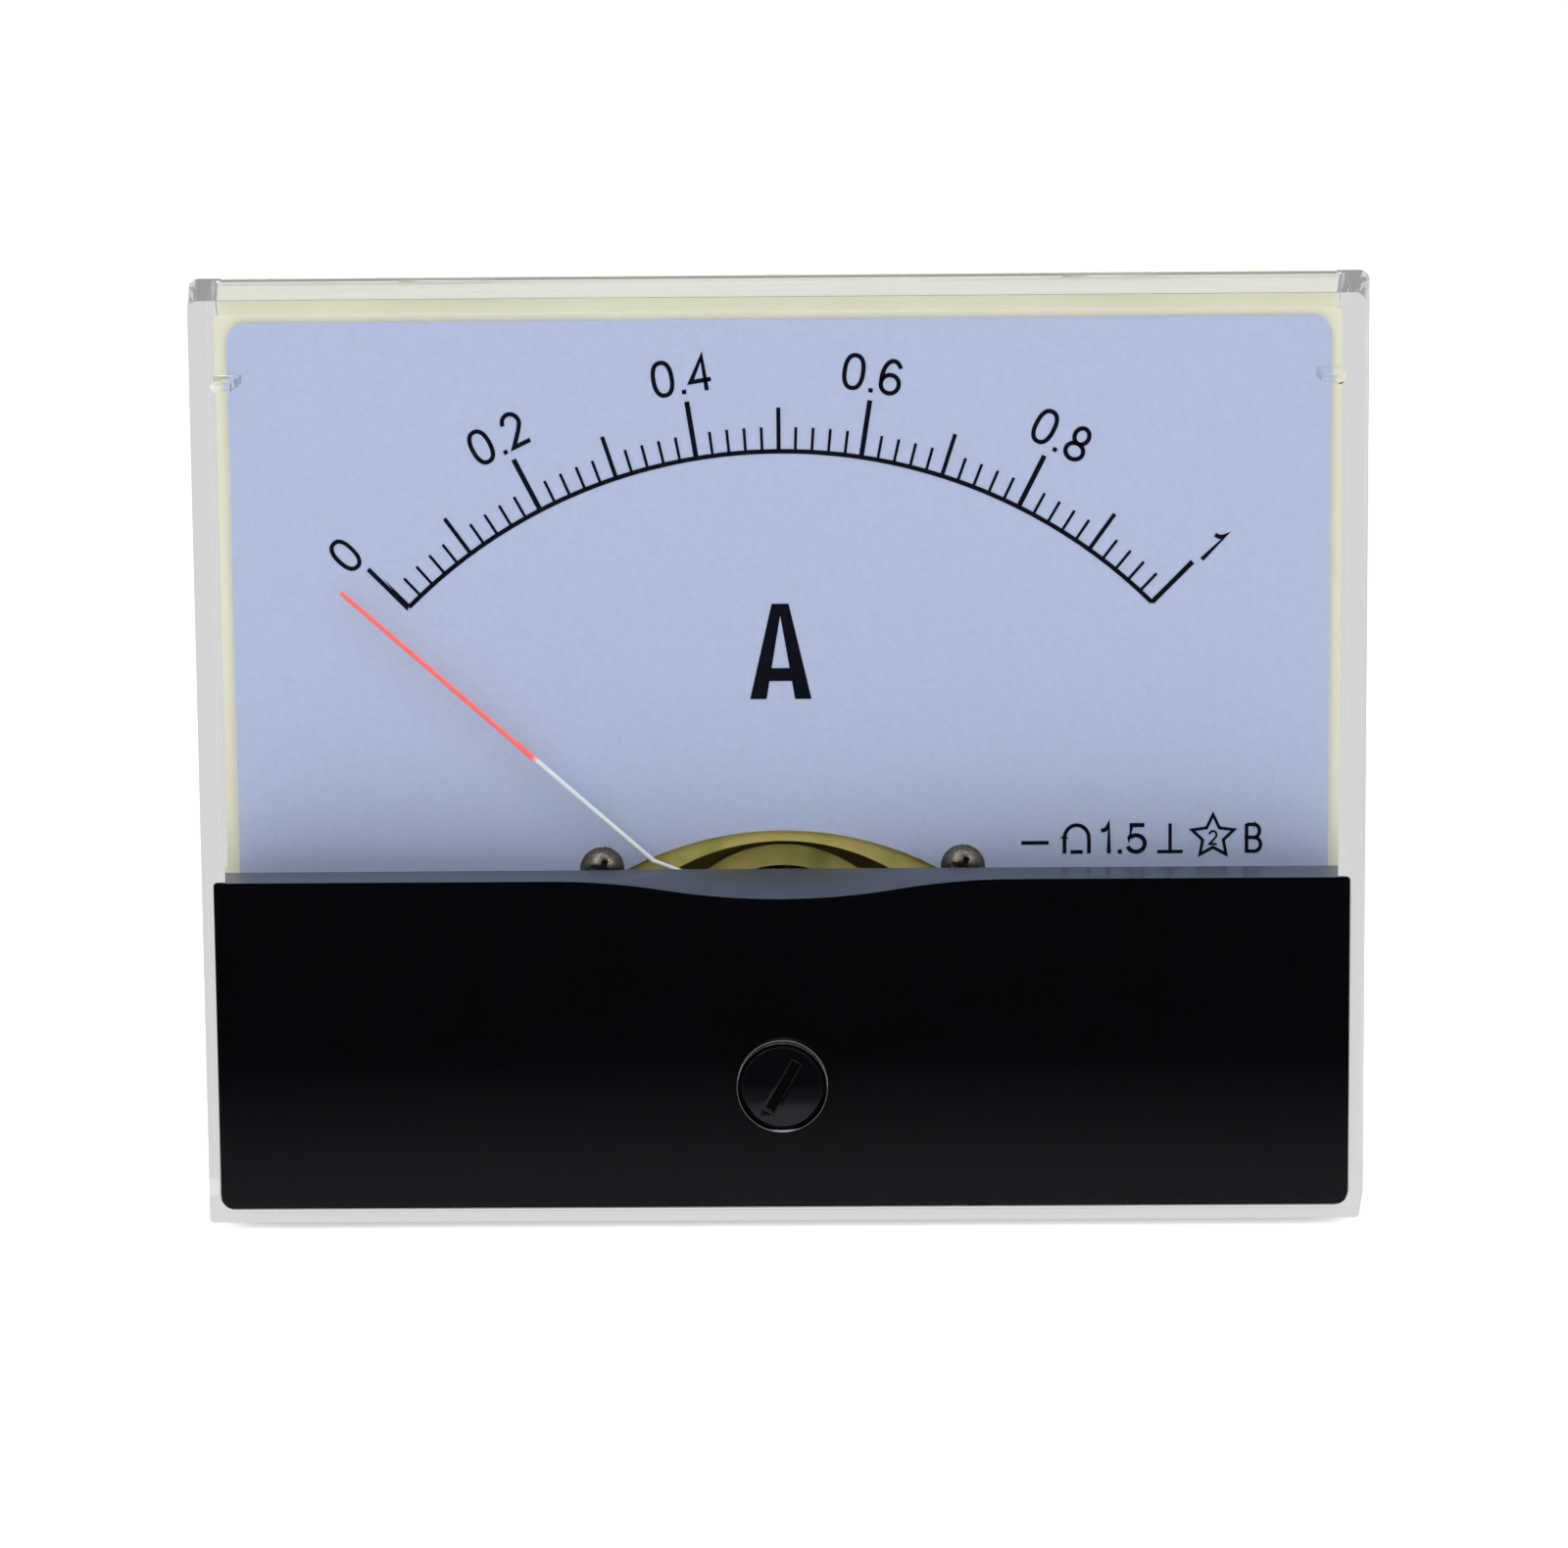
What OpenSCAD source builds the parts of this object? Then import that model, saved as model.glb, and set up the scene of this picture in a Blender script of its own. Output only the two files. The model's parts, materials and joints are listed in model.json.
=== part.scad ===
// Moving-coil panel meter, 0 to 1 A.
// Frame: +Z up, the dial faces -Y, and Y = 0 is the face that seats on the panel.
// The origin is the centre of the four mounting studs.

/* [Bezel] */
// Width of the bezel where it meets the panel
bezel_w = 100; // [98:0.5:110]
// Height of the bezel where it meets the panel
bezel_h = 80; // [79:0.5:90]
// Depth of the bezel in front of the panel
bezel_d = 13; // [12:0.5:16]
// How far each side leans in from panel to front
side_draft = 1.5; // [0.5:0.1:2]
// How far the top and the bottom lean in from panel to front
top_draft = 1.1; // [0.5:0.1:1.4]
// Radius of the bezel's upper corners
corner_r = 0.9; // [0.6:0.1:1.5]
// Radius of the bezel's lower corners
low_corner_r = 0.4; // [0.3:0.1:0.8]

/* [Clear cover] */
// Thickness of the window
window_t = 1.8; // [1.2:0.1:2.4]
// Thickness of the side walls beside the window
side_wall = 2.05; // [1.6:0.05:2.3]
// Thickness of the top wall
top_wall = 1.45; // [1.1:0.05:1.9]
// Thickness of the walls round the lower mask
pocket_wall = 0.95; // [0.8:0.05:1.2]
// How far the two dial clips stand in from the side walls
clip_reach = 1.4; // [1.3:0.1:2.2]
// Thickness of a dial clip
clip_t = 0.8; // [0.6:0.1:1.2]
// Height of the dial clips above the bezel's centre
clip_z = 31.7; // [24:0.1:34]
// Length of each snap bead
bead_l = 8; // [5:0.5:12]
// How far a snap bead stands in from the wall
bead_h = 0.45; // [0.3:0.05:0.5]
// Distance of the snap beads from the centre line
bead_x = 28; // [20:0.5:32]

// Thickness of the base's lip behind the top wall
lip_t = 0.7; // [0.5:0.1:0.7]

/* [Lower mask] */
// Height of the mask's shelf, from the bezel's centre
shelf_z = -10; // [-10.5:0.1:-9]
// Depth of the shelf from front to back
shelf_d = 5.8; // [5:0.1:6.2]
// Wall thickness of the mask
mask_t = 1.2; // [0.8:0.1:1.5]
// Radius of the mask's lower corners
mask_r = 1.4; // [1:0.1:3]
// Drop of the shelf's front edge at the middle
dip_h = 1.6; // [1:0.05:2.5]
// Half width of the dip
dip_w = 19.5; // [12:0.5:22]

/* [Dial] */
// Depth of the dial's face behind the front of the window
dial_depth = 10.1; // [9.4:0.1:10.6]
// Thickness of the dial plate
dial_t = 0.5; // [0.4:0.1:0.8]
// Gap between the dial and the side walls
dial_side_gap = 1.15; // [0.8:0.05:1.4]
// Gap between the dial and the top wall
dial_top_gap = 1.9; // [1:0.1:2.5]
// Radius of the dial's top corners
dial_r = 1.5; // [1:0.1:3]
// How far the dial reaches down behind the mask's shelf
dial_tail = 3.4; // [3.2:0.1:4]
// Radius of the arched cut-out at the bottom of the dial
cutout_r = 28.1; // [27.8:0.1:29]
// Half width of the cut-out
cutout_w = 13.2; // [12.6:0.1:13.5]
// Distance of the dial screws from the centre line
dial_screw_x = 15.4; // [15.2:0.1:17]
// Drop of the dial screws below the shelf
dial_screw_drop = 0.3; // [0.3:0.1:0.8]

/* [Scale] */
// Radius of the scale's arc
arc_r = 44.5; // [40:0.5:46]
// Angle from the first mark to the last
scale_angle = 90; // [80:1:92]
// Divisions of the scale
divisions = 50; // [10:10:100]
// Width of the arc line
arc_line = 0.38; // [0.3:0.05:0.7]
// Length of a short mark
short_mark = 2.05; // [1.5:0.05:2.6]
// Length of a middle mark
middle_mark = 3.7; // [3:0.1:4.2]
// Length of a long mark
long_mark = 4.85; // [4.3:0.05:5.2]
// Thickness of the printed ink
ink_t = 0.04; // [0.03:0.01:0.06]

/* [Pointer] */
// Radius of the pointer's tip from the pivot
pointer_tip = 49.7; // [47:0.1:50.5]
// Radius of the pointer's tube
pointer_r = 0.22; // [0.18:0.01:0.26]
// Radius of the tube at its tip
tip_r = 0.19; // [0.1:0.01:0.2]
// Gap between the dial and the middle of the pointer
pointer_gap = 1.3; // [1.1:0.05:1.5]
// Angle at which the pointer rests below the first mark
rest_below = 3.4; // [0:0.1:5]
// Radius at which the pointer's crank starts
crank_start = 14.6; // [14:0.1:16]

/* [Movement] */
// Drop of the pivot below the shelf
pivot_drop = 9.2; // [9.2:0.1:9.8]
// Thickness of the movement's frame plate
frame_t = 1; // [0.8:0.1:1.2]
// Radius of the arched opening in the frame plate
opening_r = 18.5; // [18.1:0.1:18.9]
// Drop of the opening's centre below the pivot
opening_drop = 7.4; // [7:0.1:7.8]
// Drop of the centre of the dial's cut-out below the pivot
arch_drop = 16; // [15.8:0.1:16.4]
// Half width of the opening in the frame plate
opening_w = 14; // [13.6:0.1:14.4]
// Length of the spacers between the frame plate and the yoke
spacer_l = 6.4; // [6:0.1:7]
// Length of the yoke ring
yoke_l = 14.2; // [13:0.1:15]
// Outer radius of the yoke ring
yoke_r = 13; // [12.8:0.1:13.5]
// Inner radius of the yoke ring
yoke_bore = 9.3; // [9.2:0.1:9.5]
// Radius of the core magnet
core_r = 7; // [6:0.1:7.2]
// How much shorter the core is than the yoke, at each end
core_inset = 0.6; // [0.4:0.1:1]
// Distance of the movement screws from the centre line
mover_x = 18.5; // [18.3:0.1:19.5]
// Thickness of the bridge plates
bridge_t = 1.6; // [1.2:0.1:1.8]
// Height of the bridge posts above the yoke
bridge_post = 4.5; // [4.4:0.1:5]
// Distance of the bridge screws from the pivot
bridge_x = 11.3; // [11.2:0.1:11.5]
// Outer radius of the front bridge's arch
arch_r = 10.6; // [10:0.1:11]
// Width of the front bridge's arch
arch_w = 1.8; // [1.4:0.1:2]
// Radius of the bridge posts
post_r = 1.6; // [1.4:0.1:1.7]

/* [Moving coil] */
// Thickness of the coil's aluminium former
former_t = 0.35; // [0.25:0.05:0.5]
// Gap between the core and the former
former_gap = 0.35; // [0.25:0.05:0.5]
// Thickness of the winding
winding_t = 0.8; // [0.4:0.05:0.9]
// Half width of the former
former_w = 2.3; // [1.8:0.1:2.6]
// Radius of the pivots
pivot_r = 0.45; // [0.35:0.05:0.5]
// Length of the tail arm that carries the balance weight
tail_l = 8.9; // [7.5:0.1:9.1]
// Radius of the tail weight
weight_r = 1.2; // [1:0.05:1.3]
// Density of the weight over the density of the pointer
density_ratio = 3.15; // [2.8:0.05:3.4]
// Turns of each hairspring
spring_turns = 3.5; // [2:0.5:5]
// Thickness of the hairspring strip
spring_t = 0.12; // [0.08:0.01:0.18]
// Width of the hairspring strip
spring_w = 0.5; // [0.3:0.05:0.6]

/* [Zero adjuster] */
// Drop of the adjuster below the pivot
adjuster_drop = 8.3; // [8:0.1:8.8]
// Radius of the adjuster's head
adjuster_r = 3.4; // [3:0.1:3.6]
// Radius of the hole in the window round the head
adjuster_hole_r = 3.8; // [3.7:0.1:4.2]
// Radius of the adjuster's shank
adjuster_shank_r = 2; // [1.6:0.1:2.2]
// Offset of the eccentric pin from the adjuster's axis
eccentric = 1; // [0.8:0.05:1.1]
// Radius of the eccentric pin
eccentric_r = 0.6; // [0.5:0.05:0.65]
// Length of the adjuster's slot
slot_l = 4.8; // [4:0.1:5.6]
// Width of the adjuster's slot
slot_w = 0.8; // [0.6:0.1:1]
// Angle of the slot from the upright
slot_angle = 30; // [0:1:90]
// Thickness of the zero lever
lever_t = 0.7; // [0.5:0.05:0.75]

/* [Barrel] */
// Outer radius of the barrel at the panel
barrel_r = 31; // [30.8:0.1:31.6]
// How much smaller the barrel's radius is at its rear
barrel_draft = 0.3; // [0.1:0.1:0.5]
// Wall thickness of the barrel
barrel_wall = 2; // [1.6:0.1:2.2]
// Depth of the barrel behind the panel
barrel_d = 33; // [32.5:0.5:38]
// Height of the barrel's centre above the pivot
barrel_rise = 12.7; // [12.4:0.1:13]

/* [Terminals and studs] */
// Distance of the terminals from the centre line
terminal_x = 16; // [14.5:0.5:18]
// Height of the terminals above the barrel's centre
terminal_rise = 4.5; // [3:0.5:8]
// Radius of the terminal studs
terminal_r = 2.5; // [2:0.1:3]
// Length of the terminal studs behind the barrel
terminal_l = 16; // [15:0.5:20]
// Radius of the mounting studs
stud_r = 1.5; // [1.25:0.05:2]
// Length of the mounting studs behind the panel face
stud_l = 16; // [12:0.5:20]
// Distance of the mounting studs from the bezel's sides
stud_inset_x = 10; // [8:0.5:11]
// Distance of the mounting studs from the bezel's top and bottom
stud_inset_z = 8; // [7:0.5:9]
// Gap left for the panel under the mounting washers
panel_gap = 2.5; // [1:0.5:6]

/* [Hidden] */
$fn = 64;
eps = 0.01;
// How far a cut runs past the face it opens
over = 1;
// Facets of a large arc, of a thin rod, and of a rounded edge
arc_sides = 200;
rod_sides = 48;
edge_sides = 32;
// Swelling of a bent tube or wire at its elbows
elbow = 1.08;
// Fits: a moulded piece in its pocket, a shaft in its hole, and a shank in a clear hole
mould_fit = 0.1;
shaft_fit = 0.04;
clear_fit = 0.1;

// Stations along Y, from the front to the rear
window_back = -bezel_d + window_t;
mask_front = window_back - eps;
mask_back = window_back + shelf_d;
dial_face = -bezel_d + dial_depth;
base_front = dial_face + dial_t;
pointer_y = dial_face - pointer_gap;
frame_back = base_front + frame_t;
yoke_front = frame_back + spacer_l;
yoke_back = yoke_front + yoke_l;
middle = (yoke_front + yoke_back) / 2;
bridge_back = yoke_front - bridge_post;
bridge_front = bridge_back - bridge_t;
lever_back = bridge_front - clear_fit;
lever_front = lever_back - lever_t;
coil_end_gap = 0.7;
coil_front = yoke_front + core_inset - former_gap - former_t - coil_end_gap;
winding_front = coil_front - winding_t;
barrel_floor = barrel_d - barrel_wall;

// Heights
pivot_z = shelf_z - pivot_drop;
adjuster_z = pivot_z - adjuster_drop;
arch_z = pivot_z - arch_drop;
barrel_z = pivot_z + barrel_rise;
terminal_z = barrel_z + terminal_rise;
dial_screw_z = shelf_z - dial_screw_drop;
stud_x = bezel_w / 2 - stud_inset_x;
stud_z = bezel_h / 2 - stud_inset_z;
rest_angle = -scale_angle / 2 - rest_below;

// Half width and half height of the bezel's drafted outside at a station
function half_w(y) = bezel_w / 2 + side_draft * y / bezel_d;
function half_h(y) = bezel_h / 2 + top_draft * y / bezel_d;

// Rectangle [half width, bottom, top] left inside walls of these thicknesses at a station
function inside(y, side, bottom, top) = [half_w(y) - side, bottom - half_h(y), half_h(y) - top];
function under_shelf(y, side, z) = [half_w(y) - side, side - half_h(y), z];

// Basic forms along Y
module y_cyl(r, y0, y1, sides = 0) {
    translate([0, y0, 0]) rotate([-90, 0, 0]) cylinder(r = r, h = y1 - y0, $fn = sides > 0 ? sides : $fn);
}

module y_cone(r0, r1, y0, y1) {
    translate([0, y0, 0]) rotate([-90, 0, 0]) cylinder(r1 = r0, r2 = r1, h = y1 - y0);
}

module y_slab(y0, y1) {
    translate([0, y1, 0]) rotate([90, 0, 0]) linear_extrude(y1 - y0) children();
}

module block(x0, x1, y0, y1, z0, z1) {
    translate([x0, y0, z0]) cube([x1 - x0, y1 - y0, z1 - z0]);
}

module both_sides() {
    children();
    mirror([1, 0, 0]) children();
}

module at(x, z) {
    translate([x, 0, z]) children();
}

module rod(a, b, ra, rb) {
    d = b - a;
    length = norm(d);
    translate(a) rotate([0, acos(d[2] / length), atan2(d[1], d[0])]) cylinder(r1 = ra, r2 = rb, h = length,
        $fn = rod_sides);
}

module rounded(w, h, r) {
    square([w - 2 * r, h], center = true);
    square([w, h - 2 * r], center = true);
    for (sx = [-1, 1], sy = [-1, 1]) translate([sx * (w / 2 - r), sy * (h / 2 - r)]) circle(r = r);
}

// Flat rectangle [half width, bottom, top] with round corners
module plate(rect, r_low, r_high) {
    translate([-rect[0], rect[1] + r_low]) square([2 * rect[0], rect[2] - rect[1] - r_low - r_high]);
    translate([r_low - rect[0], rect[1]]) square([2 * (rect[0] - r_low), r_low + eps]);
    translate([r_high - rect[0], rect[2] - r_high - eps]) square([2 * (rect[0] - r_high), r_high + eps]);
    for (side = [-1, 1]) {
        translate([side * (rect[0] - r_low), rect[1] + r_low]) circle(r = r_low);
        translate([side * (rect[0] - r_high), rect[2] - r_high]) circle(r = r_high);
    }
}

// Drafted block between two rectangles, with round corners along Y
module loft(y0, a, y1, b, r_low, r_high) {
    hull() for (end = [[y0, a], [y1 - eps, b]], side = [-1, 1]) {
        translate([side * (end[1][0] - r_low), 0, end[1][1] + r_low])
            y_cyl(r_low, end[0], end[0] + eps, edge_sides);
        translate([side * (end[1][0] - r_high), 0, end[1][2] - r_high])
            y_cyl(r_high, end[0], end[0] + eps, edge_sides);
    }
}

module washer(r_in, r_out, y0, y1) {
    difference() {
        y_cyl(r_out, y0, y1);
        y_cyl(r_in, y0 - over, y1 + over);
    }
}

// Radius of the cone that chamfers a nut's corners, over the nut's own, at its seat and outer face
nut_seat = 1.12;
nut_face = 0.93;

module nut(r_in, r_hex, y0, y1) {
    difference() {
        intersection() {
            y_cyl(r_hex, y0, y1, 6);
            y_cone(r_hex * nut_seat, r_hex * nut_face, y0, y1);
        }
        y_cyl(r_in, y0 - over, y1 + over);
    }
}

// ---- Cover, mask and adjuster ----

bead_y0 = -1.7;
bead_y1 = -0.9;
bead_root = 0.3;

module snap_beads(grow) {
    for (side = [-1, 1]) {
        x = side * bead_x;
        z_top = half_h(bead_y0) - top_wall;
        z_low = -half_h(bead_y0) + pocket_wall;
        block(x - bead_l / 2 - grow, x + bead_l / 2 + grow, bead_y0 - grow, bead_y1 + grow,
            z_top - bead_h - grow, z_top + bead_root);
        block(x - bead_l / 2 - grow, x + bead_l / 2 + grow, bead_y0 - grow, bead_y1 + grow,
            z_low - bead_root, z_low + bead_h + grow);
    }
}

lip_root = 1;

// Lip along the top of the base, behind the cover's top wall
module top_lip(grow) {
    half = half_w(0) - side_wall - corner_r + grow;
    block(-half, half, -lip_t - grow, grow, half_h(0) - top_wall - lip_root, half_h(0) + grow);
}

inner_r = 0.5;
clip_root = 0.3;

module front_cover() {
    color([0.92, 0.95, 0.95, 0.3]) {
        difference() {
            loft(-bezel_d, inside(-bezel_d, 0, 0, 0), 0, inside(0, 0, 0, 0), low_corner_r, corner_r);
            // Room behind the window
            loft(window_back, inside(window_back, side_wall, pocket_wall, top_wall),
                over, inside(over, side_wall, pocket_wall, top_wall), inner_r, inner_r);
            // Wider pocket for the lower mask, open to the rear
            loft(window_back, under_shelf(window_back, pocket_wall, shelf_z + mould_fit),
                over, under_shelf(over, pocket_wall, shelf_z + mould_fit), mask_r, inner_r);
            at(0, adjuster_z) y_cyl(adjuster_hole_r, -bezel_d - over, window_back + over);
            top_lip(mould_fit);
        }
        both_sides() block(half_w(window_back) - side_wall - clip_reach, half_w(window_back) - side_wall / 2,
            window_back - clip_root, dial_face - clear_fit, clip_z - clip_t / 2, clip_z + clip_t / 2);
        snap_beads(0);
    }
}

tilt = atan(dip_h / shelf_d);

// Space above the dipped shelf: an S-shaped valley, level with the shelf's back edge and low at the front
module dip_space() {
    rise = dip_h * cos(tilt);
    bend_r = (dip_w * dip_w + rise * rise) / (4 * rise);
    top = 6;
    translate([0, mask_back, shelf_z]) rotate([tilt, 0, 0]) y_slab(-shelf_d * 2, shelf_d) {
        intersection() {
            translate([-dip_w / 2, 0]) square([dip_w, top]);
            translate([0, bend_r]) circle(r = bend_r, $fn = arc_sides);
        }
        for (side = [-1, 1]) difference() {
            translate([side * dip_w * 3 / 4 - dip_w / 4, 0]) square([dip_w / 2, top]);
            translate([side * dip_w, rise - bend_r]) circle(r = bend_r, $fn = arc_sides);
        }
    }
}

shelf_edge_r = 0.3;

module lower_mask() {
    fit = pocket_wall + mould_fit;
    thick = fit + mask_t;
    color([0.03, 0.03, 0.035]) difference() {
        loft(mask_front + 2 * eps, under_shelf(mask_front, fit, shelf_z),
            mask_back, under_shelf(mask_back, fit, shelf_z), mask_r - mould_fit, shelf_edge_r);
        difference() {
            loft(window_back + mask_t, under_shelf(window_back + mask_t, thick, shelf_z - mask_t),
                mask_back + over, under_shelf(mask_back + over, thick, shelf_z - mask_t),
                mask_r - mask_t / 2, shelf_edge_r);
            translate([0, 0, -mask_t]) dip_space();
        }
        dip_space();
        at(0, adjuster_z) y_cyl(adjuster_shank_r + shaft_fit, -bezel_d, mask_back);
    }
}

adjuster_sink = 0.15;
adjuster_face = -bezel_d + adjuster_sink;
collar_front = window_back + mask_t + clear_fit;
collar_t = 0.9;

module zero_adjuster() {
    slot_depth = 0.8;
    dome_h = 0.3;
    collar_out = 0.35;
    collar_in = 0.1;
    past_lever = 0.25;
    dome_r = (adjuster_r * adjuster_r + dome_h * dome_h) / (2 * dome_h);
    color([0.05, 0.05, 0.055]) at(0, adjuster_z) {
        difference() {
            intersection() {
                y_cyl(adjuster_r, adjuster_face, window_back + eps);
                translate([0, adjuster_face + dome_r, 0]) sphere(r = dome_r, $fn = arc_sides);
            }
            rotate([0, slot_angle, 0]) block(-slot_w / 2, slot_w / 2,
                adjuster_face - over, adjuster_face + slot_depth, -slot_l / 2, slot_l / 2);
        }
        y_cyl(adjuster_shank_r, window_back, collar_front + eps);
        // Snap collar behind the mask
        y_cone(adjuster_shank_r + collar_out, adjuster_shank_r - collar_in,
            collar_front, collar_front + collar_t);
        at(0, eccentric) y_cyl(eccentric_r, collar_front + eps, lever_back + past_lever);
    }
}

// ---- Dial ----

module arch(z, r, w, bottom) {
    intersection() {
        translate([0, z]) circle(r = r, $fn = arc_sides);
        translate([-w, bottom]) square([2 * w, bezel_h]);
    }
}

dial_half_w = half_w(dial_face) - side_wall - dial_side_gap;
dial_top = half_h(dial_face) - top_wall - dial_top_gap;
dial_bottom = shelf_z - dial_tail;
dial_screw_r = 1;

module dial_plate() {
    color([0.66, 0.71, 0.84]) y_slab(dial_face, base_front) difference() {
        union() {
            translate([0, (dial_top + dial_bottom) / 2])
                rounded(2 * dial_half_w, dial_top - dial_bottom, dial_r);
            translate([-dial_half_w, dial_bottom]) square([2 * dial_half_w, 4 * dial_r]);
        }
        arch(arch_z, cutout_r, cutout_w, dial_bottom - over);
        for (side = [-1, 1]) translate([side * dial_screw_x, dial_screw_z])
            circle(r = dial_screw_r + clear_fit);
    }
}

// Widths of the long, middle and short marks
long_line = 0.42;
middle_line = 0.34;
short_line = 0.24;

module mark(i) {
    major = i % 10 == 0;
    medium = i % 5 == 0;
    length = major ? long_mark : medium ? middle_mark : short_mark;
    width = major ? long_line : medium ? middle_line : short_line;
    rotate(scale_angle * (0.5 - i / divisions)) translate([-width / 2, arc_r]) square([width, length]);
}

module scale_marks() {
    color([0.04, 0.04, 0.06]) at(0, pivot_z) {
        y_slab(dial_face - ink_t, dial_face) for (i = [0:divisions]) mark(i);
        translate([0, dial_face, 0]) rotate([90, 0, 0])
            rotate([0, 0, 90 - scale_angle / 2]) rotate_extrude(angle = scale_angle, $fn = arc_sides)
                translate([arc_r - arc_line / 2, 0]) square([arc_line, ink_t]);
    }
}

module dial_screws() {
    head_r = 1.9;
    head_h = 1.15;
    dome = (head_r * head_r + head_h * head_h) / (2 * head_h);
    recess_half = 0.25;
    recess_r = 1;
    past_frame = 0.6;
    color([0.35, 0.35, 0.36]) for (side = [-1, 1]) at(side * dial_screw_x, dial_screw_z) {
        difference() {
            intersection() {
                y_cyl(head_r, dial_face - head_h, dial_face);
                translate([0, dial_face - head_h + dome, 0]) sphere(r = dome);
            }
            // Cross recess
            for (turn = [20, 110]) rotate([0, turn, 0])
                block(-recess_half, recess_half, dial_face - head_h - over, dial_face - head_h / 2,
                    -recess_r, recess_r);
        }
        y_cyl(dial_screw_r, dial_face, frame_back + past_frame);
    }
}

// ---- Base ----

mover_screw_r = 1.25;
mover_post_r = 3;
// How far the movement screws and their holes reach past the yoke's front
mover_screw_l = 8;
mover_hole_l = 9;
stud_head_r = 3;
stud_head_t = 1.2;
boss_r = 6.5;
boss_h = 1.5;
terminal_head_r = 4.6;
terminal_head_t = 3;
shunt_t = 0.5;

module base_outline() {
    fit = mould_fit;
    upper = inside(base_front, side_wall + fit, pocket_wall + fit, top_wall + fit);
    lower = under_shelf(base_front, pocket_wall + fit, shelf_z - fit);
    plate(upper, mask_r, inner_r);
    plate(lower, mask_r, inner_r);
}

module at_studs() {
    for (sx = [-1, 1], sz = [-1, 1]) at(sx * stud_x, sz * stud_z) children();
}

module at_terminals() {
    for (side = [-1, 1]) at(side * terminal_x, terminal_z) children();
}

module at_movers() {
    for (side = [-1, 1]) at(side * mover_x, pivot_z) children();
}

module base() {
    color([0.87, 0.86, 0.76]) difference() {
        union() {
            y_slab(base_front, 0) base_outline();
            top_lip(0);
            at(0, barrel_z) y_cone(barrel_r, barrel_r - barrel_draft, -eps, barrel_d);
            at_terminals() y_cyl(boss_r, barrel_d - eps, barrel_d + boss_h);
        }
        difference() {
            at(0, barrel_z) y_cone(barrel_r - barrel_wall, barrel_r - barrel_draft - barrel_wall,
                base_front - over, barrel_floor);
            // Posts that carry the movement
            at_movers() y_cyl(mover_post_r, yoke_front + ear_t, barrel_d);
        }
        at_movers() y_cyl(mover_screw_r + shaft_fit, 0, yoke_front + mover_hole_l);
        at_terminals() y_cyl(terminal_r + clear_fit, 0, barrel_d + boss_h + over);
        at_studs() {
            y_cyl(stud_root_r + shaft_fit, base_front - over, over);
            y_cyl(stud_head_r + clear_fit, base_front - over, base_front + stud_head_t);
        }
        snap_beads(mould_fit);
    }
}

// ---- Movement ----

module movement_frame() {
    disc_gap = 0.5;
    band_past = 1.7;
    band_drop = 14.5;
    opening_low = 5.5;
    slot_half = 3;
    slot_room = 0.7;
    slot_low = pivot_z - adjuster_drop - lever_past - slot_room;
    disc_r = barrel_r - barrel_wall - disc_gap;
    band_top = arch_z + cutout_r + band_past;
    band_low = pivot_z - band_drop;
    color([0.72, 0.64, 0.25]) y_slab(base_front, frame_back) difference() {
        intersection() {
            translate([0, barrel_z]) circle(r = disc_r);
            translate([-disc_r, band_low]) square([2 * disc_r, band_top - band_low]);
        }
        arch(pivot_z - opening_drop, opening_r, opening_w, pivot_z - opening_low);
        // Slot for the zero lever
        translate([-slot_half, slot_low]) square([2 * slot_half, pivot_z - slot_low]);
        for (side = [-1, 1]) {
            translate([side * dial_screw_x, dial_screw_z]) circle(r = dial_screw_r + shaft_fit);
            translate([side * mover_x, pivot_z]) circle(r = mover_screw_r + clear_fit);
        }
    }
}

spacer_r = 2.3;

module spacers() {
    color("silver") at_movers() washer(mover_screw_r + clear_fit, spacer_r, frame_back, yoke_front);
}

module movement_screws() {
    head_r = 2.3;
    head_h = 1.5;
    slot_half = 0.3;
    color([0.7, 0.7, 0.72]) at_movers() {
        difference() {
            y_cyl(head_r, base_front - head_h, base_front);
            block(-slot_half, slot_half, base_front - head_h - over, base_front - head_h / 2,
                -head_r, head_r);
        }
        y_cyl(mover_screw_r, base_front, yoke_front + mover_screw_l);
    }
}

ear_t = 2;
ear_r = 3;

module yoke_ring() {
    color([0.5, 0.5, 0.5]) at(0, pivot_z) difference() {
        union() {
            y_cyl(yoke_r, yoke_front, yoke_back);
            for (side = [-1, 1]) {
                at(side * mover_x, 0) y_cyl(ear_r, yoke_front, yoke_front + ear_t);
                block(min(0, side * mover_x), max(0, side * mover_x), yoke_front, yoke_front + ear_t,
                    -ear_r, ear_r);
            }
        }
        y_cyl(yoke_bore, yoke_front - over, yoke_back + over);
        for (side = [-1, 1]) {
            at(side * mover_x, 0)
                y_cyl(mover_screw_r + clear_fit, yoke_front - over, yoke_front + ear_t + over);
            at(side * bridge_x, 0) y_cyl(bridge_screw_r + shaft_fit, yoke_front - over, yoke_back + over);
        }
    }
}

module core_magnet() {
    color([0.3, 0.3, 0.32]) at(0, pivot_z) y_cyl(core_r, yoke_front + core_inset, yoke_back - core_inset);
}

module core_keys() {
    half = 1.3;
    color([0.75, 0.68, 0.4]) at(0, pivot_z) difference() {
        intersection() {
            y_cyl(yoke_bore - eps, yoke_front + core_inset, yoke_back - core_inset);
            block(-half, half, yoke_front, yoke_back, -yoke_r, yoke_r);
        }
        y_cyl(core_r + eps, yoke_front, yoke_back);
    }
}

bridge_screw_r = 0.8;
bridge_half = 2.2;
jewel_screw_r = 1.6;
anchor_r = 4.6;
anchor_angle = 133;
anchor_pin_r = 0.4;
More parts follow.
